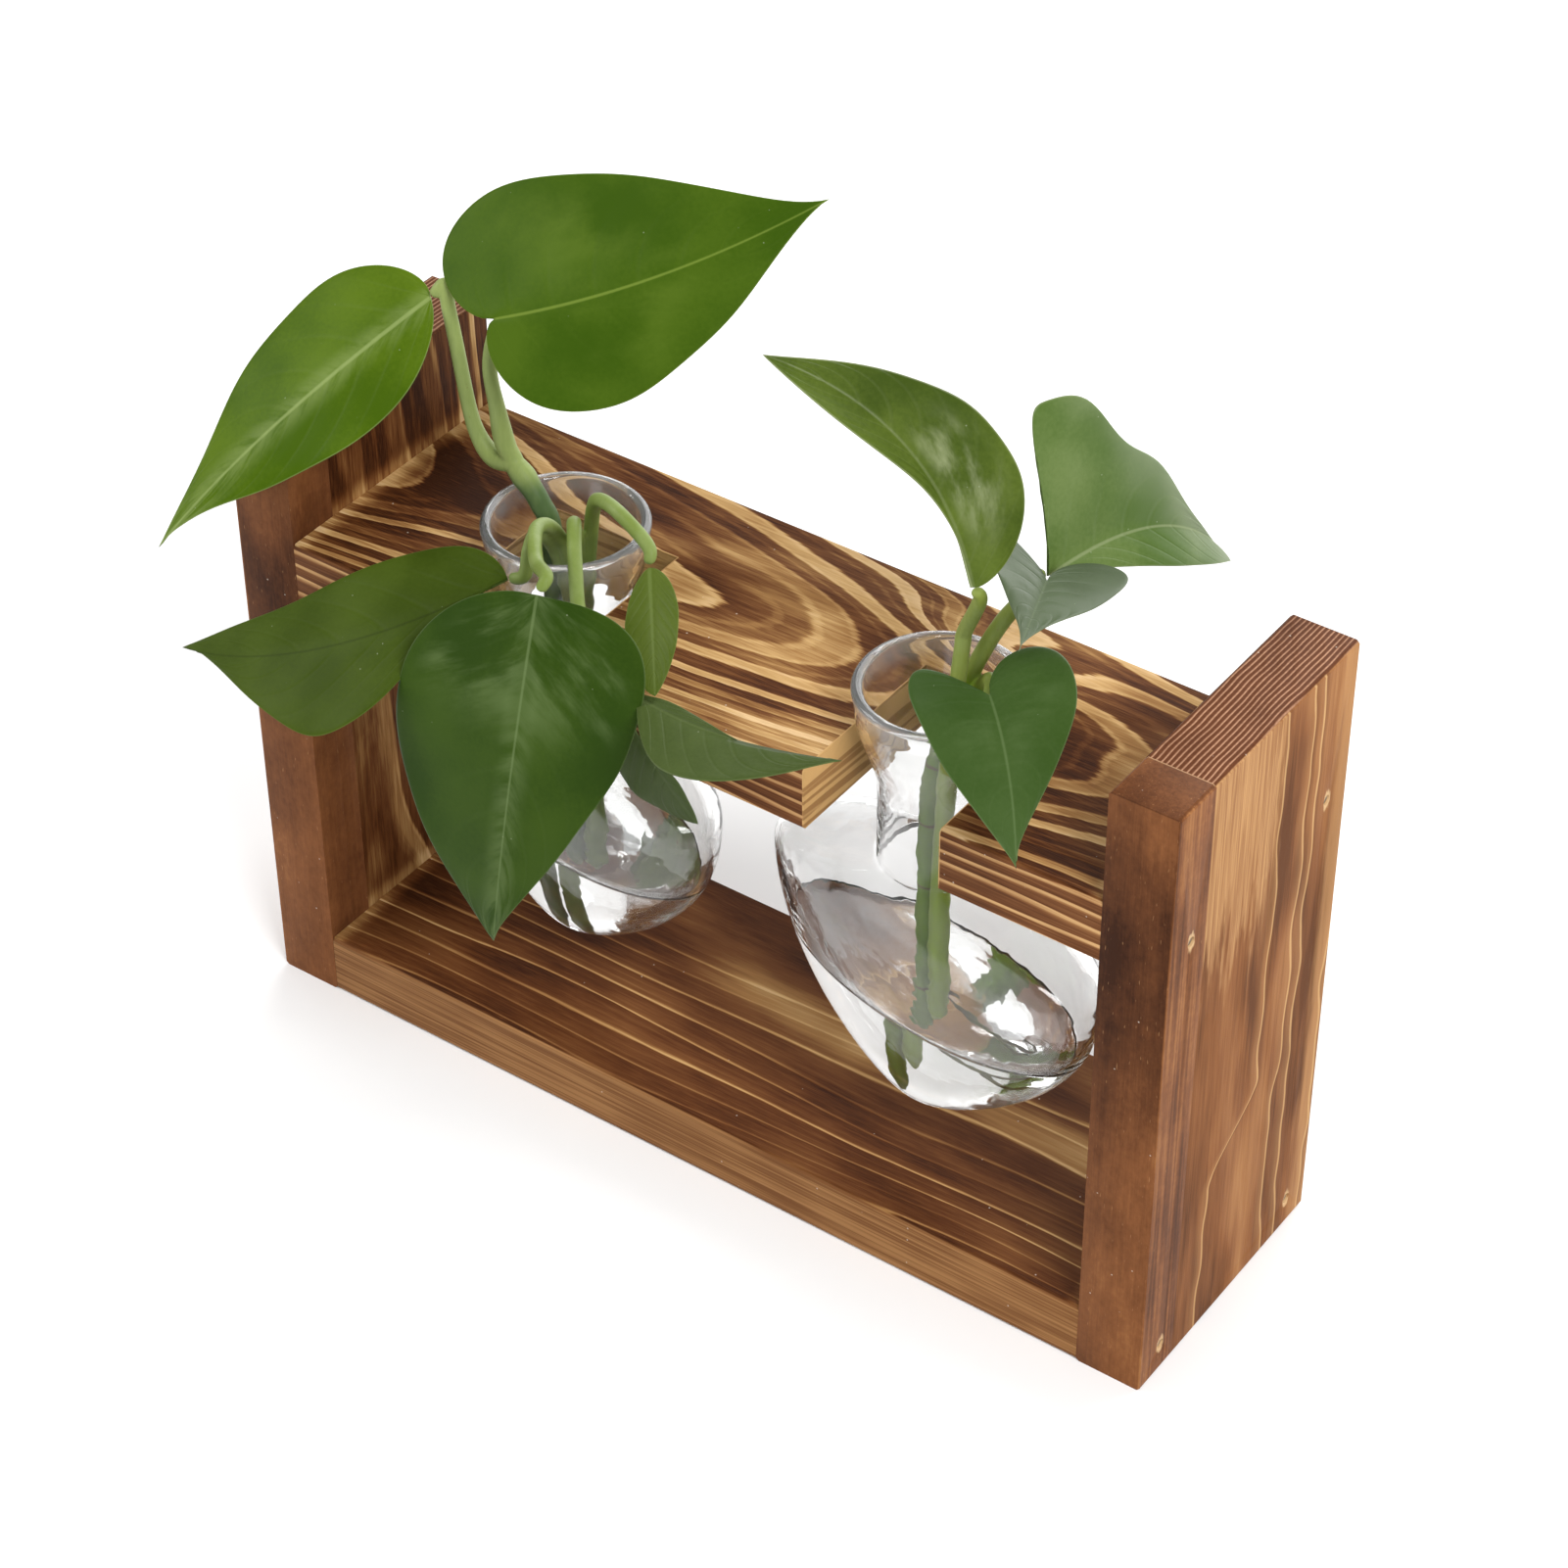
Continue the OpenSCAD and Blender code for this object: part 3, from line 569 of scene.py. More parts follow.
def strip_wood(name, seed):
    """The strips on the panels' front edges: smooth, mottled reddish brown, with short flecks."""
    s = Shade(name)
    x, y, z = s.axes
    fibre = s.streaks(z, x, y, 9, 0.5, seed, 3, 0.6)
    cloud = s.cells((x, 18), (y, 18, seed), (z, 34), detail=4, rough=0.55)
    speckle = s.cells((x, 1.2), (y, 1.2), (z, 1.8), rough=0.6)
    lines = s.streaks(z, y, x, 60, 1.1, seed + 2, 1)
    on_side = s.step(s.abs(x), STAND_W / 2 - SKIN_FAR, STAND_W / 2 - SKIN_NEAR)
    on_top = top_skin(s)
    middle = s.step(s.abs(s.sub(z, 128)), 8, 48, reverse=True)
    tone = s.add(s.mul(cloud, 0.9), 0.1, s.swing(fibre, 0.22), s.swing(speckle, 0.22),
                 s.swing(lines, s.add(0.1, s.mul(on_side, 0.75))),
                 s.mul(middle, s.sub(1, on_side), -0.3), s.mul(s.step(z, 158, PANEL_H), 0.06),
                 s.mul(on_top, -0.2))
    flecks = s.step(s.streaks(z, x, y, 3, 0.6, seed + 5, 1), 0.7, 0.78)
    s.colour = s.ramp(tone, *STRIP)
    s.paint((0.45, 0.23, 0.1), flecks, 0.4)
    joint = s.mul(s.step(y, FRONT_Y + STRIP_D - 0.45, FRONT_Y + STRIP_D - 0.1), on_top)
    s.paint((0.5, 0.3, 0.16), joint, 0.8)
    torn_rims(s)
    s.paint(DUST, s.specks(0.3, 0.12, seed), 0.6)
    s.bump(s.add(s.mul(fibre, 0.5), s.mul(lines, 0.3)), 0.12, 0.5)
    return s.set(Base_Color=s.colour, Roughness=s.add(0.42, s.mul(fibre, 0.14)),
                 Specular_IOR_Level=0.06)


# Boards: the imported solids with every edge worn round
BOARD_WELD, FLAT_DEG, EDGE_DEG = 0.005, 0.5, 25


def worn_board(node, material, slot="torched_wood"):
    """A copy of a board's solid with its triangles joined into flat faces and its edges rounded."""
    work = bmesh.new()
    work.from_mesh(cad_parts[node].data)
    bmesh.ops.remove_doubles(work, verts=work.verts, dist=BOARD_WELD * MM)
    bmesh.ops.dissolve_limit(work, angle_limit=math.radians(FLAT_DEG), verts=work.verts,
                             edges=work.edges)
    mesh = bpy.data.meshes.new("worn_" + node)
    work.to_mesh(mesh)
    work.free()
    smooth_faces(mesh)
    piece = link("worn_" + node, mesh)
    edge = piece.modifiers.new("worn edges", "BEVEL")
    edge.width, edge.segments, edge.limit_method = EDGE_WEAR * MM, 2, "ANGLE"
    edge.angle_limit, edge.harden_normals = math.radians(EDGE_DEG), True
    return finish_piece(piece, "stand", slot, material, node)


# Burns and bare spots: middle along the grain and across it, reach along each, change of tone.
# Knots: the same places, and how far they push the rings out
UPPER_BURNS = ((-97, -5, 28, 40, -0.4), (-28, 5, 14, 8, -0.5),
               (2, 11, 18, 6, 0.22), (30, -28, 24, 7, 0.25),
               (95, 8, 30, 40, -0.1))
LOWER_BURNS = ((8, 8, 42, 7, 0.6), (90, 6, 30, 8, 0.5), (-60, -8, 60, 26, -0.1))
PANEL_BURNS = ((150, 0, 30, 60, -0.12), (60, -10, 50, 40, 0.12))
UPPER_KNOTS = ((50, 26, 30, 9, 7),)
LOWER_KNOTS = ((60, 16, 60, 8, -3),)

worn_board("upper_shelf", torched_wood(
    "upper shelf wood", "x", (8, SHELF_TOP - 46), 0.1, 3.6, 3, base=0.33, sway_mm=5, line=0.5,
    gain=0.68, scorch_gain=1.3, knots=UPPER_KNOTS, burns=UPPER_BURNS, pale=near_shelf_ends(SHELF_TOP),
    fronts=striped_front))
worn_board("lower_shelf", torched_wood(
    "lower shelf wood", "x", (30, BOARD_T - 34), 0.035, 5.2, 11, base=0.21, sway_mm=6.5,
    sway_long=120, line=0.82, gain=0.5, scorch_gain=1, mottled=0.42, knots=LOWER_KNOTS,
    burns=LOWER_BURNS, pale=near_shelf_ends(BOARD_T),
    fronts=planed_front((0.17, 0.07, 0.025), (0.33, 0.165, 0.064))))
for side_name, side, seed in (("left", -1, 21), ("right", 1, 33)):
    panel_wood = torched_wood(
        side_name + " panel wood", "z", (-18, side * 60), 0.03 * side, 5, seed, base=0.15,
        sway_mm=5, line=0.6, gain=0.65, scorch_gain=1, burns=PANEL_BURNS,
        pale=near_panel_joints(side), fronts=panel_faces(side, seed))
    worn_board(side_name + "_board", panel_wood)
    worn_board(side_name + "_strip", strip_wood(side_name + " strip wood", seed + 1), "strip_wood")


def brad_steel():
    """Dull steel with fine scratches."""
    s = Shade("brad steel")
    x, y, z = s.axes
    scratch = s.noise(s.join(x, s.mul(y, 6), s.mul(z, 6)), 3)
    s.bump(scratch, 0.03)
    return s.set(Base_Color=s.ramp(scratch, (0.3, (0.2, 0.19, 0.18)), (0.7, (0.5, 0.48, 0.45))),
                 Metallic=1, Roughness=s.add(0.3, s.mul(scratch, 0.25)))


steel = brad_steel()
for node in ("upper_left_brads", "upper_right_brads", "lower_left_brads", "lower_right_brads"):
    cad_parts[node].data.materials.clear()
    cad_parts[node].data.materials.append(steel)


# Vases and water: steps up the body, over the shoulder, up the flare and round the lip, steps up
# the water, and points round a ring
BODY_STEPS, SHOULDER_STEPS, FLARE_STEPS, LIP_STEPS = 44, 24, 24, 12
WATER_STEPS, VASE_SIDES = 60, 128
# How far slow waves draw the glass in, outside and inside
OUTER_RIPPLE, INNER_RIPPLE = 0.25, 0.35
# How far the water reaches into the glass, how high it curls up at the wall, and the flat
# surface's rings by their distance from the wall
WATER_GROW, CURL, CURL_STEPS = 0.12, 0.9, (0.25, 0.7, 1.4, 2.6, 5, 9)


def low_rings(t, inset, z0):
    """A wall's rings from its underside, at t = 0, up to the belly's widest place, at t = 1."""
    half_w = (BODY_W / 2 - inset) * (1 - (1 - t) ** WIDTH_POWERS[0]) ** WIDTH_POWERS[1]
    half_d = (BODY_D / 2 - inset) * (1 - (1 - t) ** DEPTH_POWERS[0]) ** DEPTH_POWERS[1]
    return np.stack([half_w, half_d, z0 + (BELLY_H - z0) * t], -1)


def shoulder_rings(t, inset):
    """A wall's rings from the belly's widest place, at t = 0, in to the neck, at t = 1."""
    share = (1 - t ** SHOULDER_POWERS[0]) ** SHOULDER_POWERS[1]
    r = NECK_R - inset
    return np.stack([r + (BODY_W / 2 - inset - r) * share, r + (BODY_D / 2 - inset - r) * share,
                     BELLY_H + (SHOULDER_H - inset) * t], -1)


def flare_rings(t, r0, r1):
    """A wall's rings from the neck's top, at t = 0, out to the lip, at t = 1."""
    r = r0 + (r1 - r0) * (1 - np.cos(np.pi * t)) / 2
    return np.stack([r, r, FLARE_Z + FLARE_H * t], -1)


def wall_rings(inset, z0, top_r):
    """A wall's outline from the underside to the lip as rows of half width, half depth, height:
    the body swells as powers of the height, sweeps in over the shoulder and flares as a cosine."""
    return np.concatenate([
        low_rings((np.arange(1, BODY_STEPS + 1) / BODY_STEPS) ** 2, inset, z0),
        shoulder_rings(np.arange(1, SHOULDER_STEPS + 1) / SHOULDER_STEPS, inset),
        flare_rings(np.arange(FLARE_STEPS + 1) / FLARE_STEPS, NECK_R - inset, top_r)])


def turned_rings(side, rings, ripple=0):
    """Points of flattened rings round a vase's axis, turned with the vase. A ripple draws the
    glass in by a slow wave round and up the body, as in glass blown by hand."""
    a = 2 * np.pi * np.arange(VASE_SIDES) / VASE_SIDES
    half_w, half_d, z = (rings[:, i][:, None] for i in range(3))
    draw = ripple * (0.5 + 0.5 * np.sin(2 * a[None] + z / 11) * np.cos(3 * a[None] - z / 17 + 1.3))
    x = (half_w - draw) * np.cos(a)
    y = (half_d - draw) * np.sin(a)
    c, s = math.cos(TURN[side]), math.sin(TURN[side])
    ax, ay = AXIS[side]
    return np.stack([ax + c * x - s * y, ay + s * x + c * y, VASE_Z + z + 0 * x], -1).reshape(-1, 3)


def make_vase(side, material):
    """A closed glass wall: up the outside, over the round lip, and down the inside to the base."""
    angle = np.pi * np.arange(LIP_STEPS + 1) / LIP_STEPS
    lip_r = LIP_MID_R + LIP_R * np.cos(angle)
    lip = np.stack([lip_r, lip_r, VASE_H - LIP_R + LIP_R * np.sin(angle)], -1)
    outer = wall_rings(0, 0, FLARE_R)
    inner = wall_rings(GLASS_T, BASE_T, LIP_MID_R - LIP_R)[::-1]
    points = np.concatenate([turned_rings(side, outer, OUTER_RIPPLE), turned_rings(side, lip),
                             turned_rings(side, inner, INNER_RIPPLE)])
    piece = ring_mesh(side + "_vase_glass", points, VASE_SIDES)
    return finish_piece(piece, side + "_glass", "clear_glass", material, side + "_vase")


def make_water(side, material):
    """Water up to its level: the inner wall's rings grown by a hair into the glass, and on top a
    flat surface that curls up at the wall."""
    level = WATER_Z - VASE_Z
    steps = (np.arange(1, WATER_STEPS + 1) / WATER_STEPS) ** 2
    rings = low_rings(steps, GLASS_T - WATER_GROW, BASE_T - WATER_GROW)
    wall = rings[rings[:, 2] < level]
    low, high = wall[-1], rings[len(wall)]
    rim = low + (level + CURL - low[2]) / (high[2] - low[2]) * (high - low)
    tops = [rim - [d, d, CURL * (1 - math.exp(-d / CURL))] for d in CURL_STEPS]
    points = turned_rings(side, np.concatenate([wall, [rim], tops]))
    piece = ring_mesh(side + "_water", points, VASE_SIDES)
    return finish_piece(piece, side + "_glass", "clear_glass", material)


def glass_finish():
    """Clear blown glass with soft waves; at the lip a little of it is diffuse white, a painted
    highlight.
    """
    s = Shade("clear blown glass")
    x, y, z = s.axes
    wave = s.cells((x, 26), (y, 26), (z, 26), detail=1)
    fine = s.cells((x, 5), (y, 5), (z, 5), detail=1)
    s.bump(s.add(wave, s.mul(fine, 0.15)), 1.2, 0.6)
    # The lip is made partly diffuse white: a painted highlight.
    lip = s.step(z, MOUTH_Z - 8, MOUTH_Z - 3)
    return s.set(Base_Color=s.mix(wave, (0.993, 0.997, 0.996), (0.998, 1, 1)), Roughness=0,
                 IOR=1.45, Transmission_Weight=s.sub(0.987, s.mul(lip, 0.08)))


def water_finish():
    s = Shade("clear water")
    x, y, z = s.axes
    drift = s.cells((x, 30), (y, 30), (z, 30), detail=1)
    return s.set(Base_Color=s.mix(drift, (0.993, 0.997, 0.995), (0.998, 1, 0.998)), Roughness=0,
                 IOR=1.333, Transmission_Weight=1)


glass, water = glass_finish(), water_finish()
for side in ("left", "right"):
    make_vase(side, glass)
    make_water(side, water)


# Leaves: steps along a blade and over half its width, and the share of a right angle that spaces
# the steps across
ALONG_STEPS, HALF_STEPS, ACROSS_TURN = 64, 14, 0.92
# How softly a blade folds at its midrib, as a share of its length
FOLD_SOFT = 0.012
# A blade's skin: half its thickness at the rim, what the middle adds, the depth of the groove over
# the midrib, the height of the ridge under it, and the height of the quilting
RIM_HALF, MIDDLE_HALF, GROOVE_DEPTH, RIDGE_HEIGHT, QUILT_HEIGHT = 0.1, 0.16, 0.28, 0.55, 0.1
BLADE_WELD = 0.004


def leaf_frame(leaf):
    """A leaf's directions: along its midrib, out of its face, and across."""
    root, tip, face = (np.array(v, float) for v in leaf[:3])
    e = unit(tip - root)
    n = unit(face - (face @ e) * e)
    return e, n, np.cross(n, e)


def hump(u, a, b):
    """Rises from 0 at u = 0 as a power a to 1, and falls to 0 at u = 1 as a power b."""
    peak = a / (a + b)
    return (u / peak) ** a * ((1 - u) / (1 - peak)) ** b


def blade_plan(number, margins, bend, shoulders, scallop):
    """A blade's plan in shares of its length: u along the midrib, v across it, the midrib's
    points, and for each point the place on the margin beside it. The margins are humps of u
    drawn back by a lobe."""
    u = (np.arange(ALONG_STEPS + 1) / ALONG_STEPS)[:, None] ** STATION_POWER
    turn = np.pi / 2 * ACROSS_TURN
    v = np.sin(np.linspace(-1, 1, 2 * HALF_STEPS + 1) * turn)[None] / math.sin(turn)
    mid = np.stack([u, 4 * bend * u * (1 - u)], -1)
    edges = []
    for (width, a, b, lobe), sign, more in zip(margins, (-1, 1), shoulders):
        wide = width * hump(u, a, b) + more * hump(u, *SHOULDER_HUMP)
        scallops = np.sin(2 * np.pi * (3.4 * u + 0.3 * number)) * np.sin(np.pi * u)
        wide = wide * (1 + scallop * sign * scallops)
        edges.append(np.stack([u - lobe * hump(u, *LOBE_POWERS), sign * wide], -1))
    return u, v, mid, np.where(v[..., None] < 0, edges[0], edges[1])


def upper_normals(points, up):
    """Unit normals of a grid of points on its upper side, and up where the grid is too narrow."""
    normal = np.cross(np.gradient(points, axis=1), np.gradient(points, axis=0))
    size = np.linalg.norm(normal, axis=-1, keepdims=True)
    normal = np.where(size > 1e-7, normal / np.maximum(size, 1e-7), up)
    return np.where((normal @ up)[..., None] < 0, -normal, normal)


def weld_blade(mesh, layers):
    """Merges a blade's points where its rings meet, and keeps each point's values with it."""
    work = bmesh.new()
    work.from_mesh(mesh)
    work.verts.ensure_lookup_table()
    for key, values in layers.items():
        layer = work.verts.layers.float.new(key)
        for vert, value in zip(work.verts, values.ravel()):
            vert[layer] = float(value)
    bmesh.ops.remove_doubles(work, verts=work.verts, dist=BLADE_WELD * MM)
    bmesh.ops.recalc_face_normals(work, faces=work.faces)
    work.to_mesh(mesh)
    work.free()
    smooth_faces(mesh)


def leaf_piece(side, number, material, wave, shoulders, scallop):
    """A blade as a closed thin shell. It bows along its length, folds along its midrib and waves
    at its margins. Rings run across the upper side and back across the under side."""
    leaf = LEAVES[side][number]
    e, n, w = leaf_frame(leaf)
    root = np.array(leaf[0], float)
    length = SPREAD * np.linalg.norm(np.array(leaf[1], float) - root)
    bow, lift, bend = leaf[3:6]
    u, v, mid, edge = blade_plan(number, MARGINS[side][number], bend, shoulders, scallop)
    out = np.abs(v)
    x, y = np.moveaxis(mid + out[..., None] * (edge - mid), -1, 0)
    half_width = length * np.linalg.norm(edge - mid, axis=-1)
    rib, rim = out * half_width, (1 - out) * half_width
    arc = 4 * x * (1 - x)
    fold = lift * (np.hypot(y - bend * arc, FOLD_SOFT) - FOLD_SOFT)
    ripple = wave * out ** 2.5 * np.sin(2 * np.pi * (2.6 * u + 0.2 * np.sign(v)) + number)
    ripple = ripple * np.sin(np.pi * u) ** 0.5 / length
    centre = SPREAD * root + length * (x[..., None] * e + y[..., None] * w
                                       + (bow * arc + fold + ripple)[..., None] * n)
    taper = np.clip(rim / 1.2, 0, 1) ** 0.5
    vein = np.sin(2 * np.pi * (9 * (u - 0.32 * out ** 1.3))) * np.exp(-rib / 14)
    quilt = QUILT_HEIGHT * vein * np.clip(rib / 2.5, 0, 1) * taper
    groove = GROOVE_DEPTH * np.exp(-(rib / 0.75) ** 2) * (1 - 0.6 * u)
    ridge = RIDGE_HEIGHT * np.exp(-(rib / 0.9) ** 2) * (1 - 0.75 * u)
    half = RIM_HALF + MIDDLE_HALF * taper
    normal = upper_normals(centre, n)
    top = centre + normal * (half - groove + quilt)[..., None]
    under = centre - normal * (half + ridge - quilt)[..., None]
    rings = np.concatenate([top, under[:, ::-1]], 1) + [*AXIS[side], MOUTH_Z]
    piece = ring_mesh(f"{side}_blade_{number + 1}", rings.reshape(-1, 3), rings.shape[1])
    layers = {}
    for key, value in (("along", u), ("across", v), ("rib", rib), ("rim", rim)):
        value = np.broadcast_to(value, rib.shape)
        layers[key] = np.concatenate([value, value[:, ::-1]], 1)
    layers["under"] = np.concatenate([np.zeros(rib.shape), np.ones(rib.shape)], 1)
    weld_blade(piece.data, layers)
    return finish_piece(piece, side + "_plant", "leaf_green", material,
                        f"{side}_leaf_{number + 1}")


def leaf_finish(name, deep, bright, vein, seed, *, midrib, shine, gloss=0.34, veiny=0.03,
                rib_mm=0.55, patch=0, patch_at=0.3, halo=0, painted_sheen=None, brush_at=(14, 1.6)):
    """Leaf skin: green that shifts in clouds between deep and bright, a midrib with a soft halo,
    faint arching side veins, a thin pale rim, pale blotches beside the midrib that on some leaves
    are a painted highlight, and a matt under side. A midrib under 0 is darker than the blade; a
    painted greyish sheen runs from a start to an end along it."""
    s = Shade(name)
    u, v, rib = s.attribute("along"), s.attribute("across"), s.attribute("rib")
    rim, under = s.attribute("rim"), s.attribute("under")
    x, y, z = s.axes
    cloud = s.cells((x, 24), (y, 24), (z, 24, seed), rough=0.45)
    mottle = s.cells((x, 1.1), (y, 1.1), (z, 1.1), detail=3, rough=0.6)
    out = s.abs(v)
    run = s.sub(u, s.mul(s.math("POWER", out, 1.25), 0.3))
    beat = s.abs(s.sub(s.math("FRACT", s.mul(run, 8)), 0.5))
    veins = s.mul(s.step(beat, 0, 0.12, reverse=True), s.step(rib, 0.4, 26, reverse=True))
    s.colour = s.mix(s.step(s.add(s.mul(cloud, 0.8), s.mul(mottle, 0.2)), 0.32, 0.68), deep, bright)
    strokes = s.join(s.mul(s.sub(u, s.mul(out, 0.25)), brush_at[0]), s.mul(v, brush_at[1]), seed)
    brush = s.noise(strokes, 4, 0.62)
    # A painted greyish sheen, laid over the green from a start to an end along the midrib.
    if painted_sheen:
        start, end, sheen_tone = painted_sheen
        far = s.step(s.add(u, s.mul(v, 0.25), s.swing(cloud, 0.5)), start, end)
        s.paint(sheen_tone, far, 0.8)
    # Pale blotches beside the midrib in the vein colour; on the left fourth and right first leaves they
    # are a painted highlight.
    if patch:
        band = s.mul(s.step(rib, 0.6, 4), s.step(rim, 1, 9),
                     s.step(s.abs(s.sub(u, patch_at)), 0.02, 0.3, reverse=True))
        blotch_and_highlight = s.step(s.add(s.mul(brush, 0.6), s.mul(cloud, 0.4)), 0.42, 0.66)
        s.paint(vein, band, blotch_and_highlight, patch)
    if halo:
        glow = s.mul(s.step(rib, 0.3, 6, reverse=True), s.step(brush, 0.32, 0.6))
        s.paint(vein, glow, halo)
    s.paint(vein, veins, veiny)
    line = s.step(s.add(rib, s.mul(u, 0.6 * rib_mm)), 0.4 * rib_mm, 1.3 * rib_mm, reverse=True)
    rib_colour = vein if midrib > 0 else tuple(0.55 * c for c in deep)
    s.paint(rib_colour, line, abs(midrib))
    s.paint(vein, s.step(rim, 0, 0.35, reverse=True), 0.4)
    s.paint((0.11, 0.17, 0.05), under, 0.4)
    s.paint((0.4, 0.45, 0.3), s.specks(0.26, 0.08, seed), 0.4)
    s.bump(s.add(s.mul(veins, -0.3), s.mul(mottle, 0.08), s.mul(cloud, 1.2), s.mul(brush, 0.12)),
           0.45, 0.4)
    return s.set(Base_Color=s.colour, Roughness=s.add(gloss, s.mul(mottle, 0.12), s.mul(under, 0.2)),
                 Specular_IOR_Level=shine)


# Each leaf's look: deep and bright green, vein colour, and what sets it apart. The vein colour also
# tints the pale blotches, which are a painted highlight on the left fourth and right first leaves
LOOKS = {"left": [
    ((0.048, 0.098, 0.002), (0.09, 0.155, 0.006), (0.3, 0.38, 0.13),
     {"midrib": 0.55, "rib_mm": 0.7, "halo": 0.3, "shine": 0.05}),
    ((0.036, 0.08, 0.003), (0.062, 0.115, 0.007), (0.22, 0.3, 0.05),
     {"midrib": 0.5, "rib_mm": 0.55, "shine": 0.04, "veiny": 0.015, "patch": 0.14, "patch_at": 0.4,
      "brush_at": (5, 2.4)}),
    ((0.036, 0.06, 0.004), (0.058, 0.09, 0.009), (0.14, 0.19, 0.04),
     {"midrib": -0.45, "rib_mm": 0.5, "shine": 0.04, "veiny": 0.015}),
    # Left leaf 4: its pale blotches near the root are a painted highlight.
    ((0.022, 0.05, 0.004), (0.038, 0.074, 0.007), (0.15, 0.21, 0.08),
     {"patch": 0.6, "patch_at": 0.14, "halo": 0.35, "midrib": 0.5, "rib_mm": 0.45, "shine": 0.05}),
    ((0.06, 0.092, 0.008), (0.088, 0.125, 0.018), (0.2, 0.26, 0.08), {"midrib": 0.3, "shine": 0.06}),
    ((0.045, 0.068, 0.015), (0.068, 0.098, 0.024), (0.13, 0.17, 0.06), {"midrib": 0.3, "shine": 0.1}),
    ((0.048, 0.07, 0.021), (0.074, 0.106, 0.034), (0.13, 0.17, 0.07), {"midrib": 0.2, "shine": 0.1})],
    "right": [
    # Right leaf 1: its strong pale blotches in the middle are a painted highlight.
    ((0.042, 0.072, 0.005), (0.1, 0.145, 0.018), (0.42, 0.46, 0.26),
     {"patch": 0.75, "patch_at": 0.34, "midrib": 0.12, "shine": 0.14, "gloss": 0.28,
      "brush_at": (5, 2.4)}),
    # Right leaf 2: the greyish tone towards its tip is a painted sheen.
    ((0.06, 0.115, 0.012), (0.13, 0.19, 0.05), (0.3, 0.35, 0.18),
     {"midrib": 0.45, "painted_sheen": (0.3, 0.9, (0.21, 0.255, 0.15)), "shine": 0.25, "gloss": 0.38}),
    ((0.062, 0.088, 0.042), (0.092, 0.122, 0.067), (0.17, 0.21, 0.12), {"midrib": 0.3, "shine": 0.15}),
    ((0.033, 0.07, 0.011), (0.052, 0.095, 0.022), (0.17, 0.24, 0.1),
     {"patch": 0.12, "midrib": 0.3, "shine": 0.1, "gloss": 0.3})]}

# Fuller shoulders beside a leaf's root, left and right, as shares of its length
NO_SHOULDERS = (0, 0)
SHOULDERS = {("left", 0): (0.03, 0.04), ("left", 3): (0.035, 0.04)}
# Scallops of the margins as a share of the width, and their waves in millimetres
SCALLOP, DEEP_SCALLOPS = 0.008, {("right", 1): 0.05}
BIG_LEAVES, BIG_WAVE, SMALL_WAVE = 4, 0.5, 0.25

for side, looks in LOOKS.items():
    for i, (deep, bright, vein, extra) in enumerate(looks):
        skin = leaf_finish(f"{side} leaf {i + 1}", deep, bright, vein, 2 + 1.7 * i, **extra)
        wave = BIG_WAVE if side == "left" and i < BIG_LEAVES else SMALL_WAVE
        leaf_piece(side, i, skin, wave, SHOULDERS.get((side, i), NO_SHOULDERS),
                   DEEP_SCALLOPS.get((side, i), SCALLOP))


# Stems: steps between two points of a route, points round a tube, and grids to remesh on
STEM_STEPS, ROOT_STEPS, STEM_SIDES, STALK_SIDES, ROOT_SIDES = 12, 10, 20, 18, 10
STEM_GRID, ROOT_GRID = 0.42, 0.25
# The pale sheath round the foot of the left cutting's two high stalks
SHEATH_SWELL, SHEATH_AT, SHEATH_LEN = 0.38, 7, 8
# A stalk that goes on from its stem's end starts this many steps back along the stem
LAP_STEPS = 5
# A stalk is this share of its full radius at its end, and narrows more towards its blade
STALK_END, TAPER_SHARE, TAPER_LEN = 0.94, 0.25, 7
# A stem swells at its joints by this share, over this length, and rounds off at its ends
JOINT_SWELL, JOINT_LEN, ROUND_LEN = 0.16, 2.4, 0.9


def inside(side, shares):
    """Points in a vase, from shares of its bore's radius and of its inner height."""
    ax, ay = AXIS[side]
    return [[ax + x * BORE_R, ay + y * BORE_R, VASE_Z + BASE_T + z * (VASE_H - BASE_T)]
            for x, y, z in shares]


def outside(side, shares):
    """Points round a vase's mouth, from shares of the spread."""
    ax, ay = AXIS[side]
    return [[ax + SPREAD * x, ay + SPREAD * y, MOUTH_Z + SPREAD * z] for x, y, z in shares]


def smooth_route(points, k):
    """A Catmull-Rom curve through every point, with k steps between two of them."""
    p = np.array(points, float)
    q = np.concatenate([[2 * p[0] - p[1]], p, [2 * p[-1] - p[-2]]])
    t = (np.arange(k) / k)[None, :, None]
    a, b, c, d = (q[i:len(q) - 3 + i, None] for i in range(4))
    run = (2 * b + (c - a) * t + (2 * a - 5 * b + 4 * c - d) * t ** 2
           + (3 * b - a - 3 * c + d) * t ** 3) / 2
    return np.concatenate([run.reshape(-1, 3), p[-1:]])


def tube(route, radii, sides):
    """A tube's points and faces, closed at both ends: each ring's side direction is the last
    one's, freed of its part along the route, so that the rings don't twist."""
    dirs = unit(np.gradient(route, axis=0))
    u = np.array([1, 0, 0]) if abs(dirs[0, 0]) < 0.9 else np.array([0, 0, 1])
    us = []
    for d in dirs:
        u = unit(u - (u @ d) * d)
        us.append(u)
    ws = np.cross(dirs, us)
    a = (2 * np.pi * np.arange(sides) / sides)[:, None]
    ring = np.cos(a) * np.array(us)[:, None] + np.sin(a) * ws[:, None]
    points = route[:, None] + radii[:, None, None] * ring
    n = len(route)
    return points.reshape(-1, 3), ring_quads(n, sides).tolist() + end_caps(n, sides)


def arc_length(route):
    return np.concatenate([[0], np.cumsum(np.linalg.norm(np.diff(route, axis=0), axis=1))])


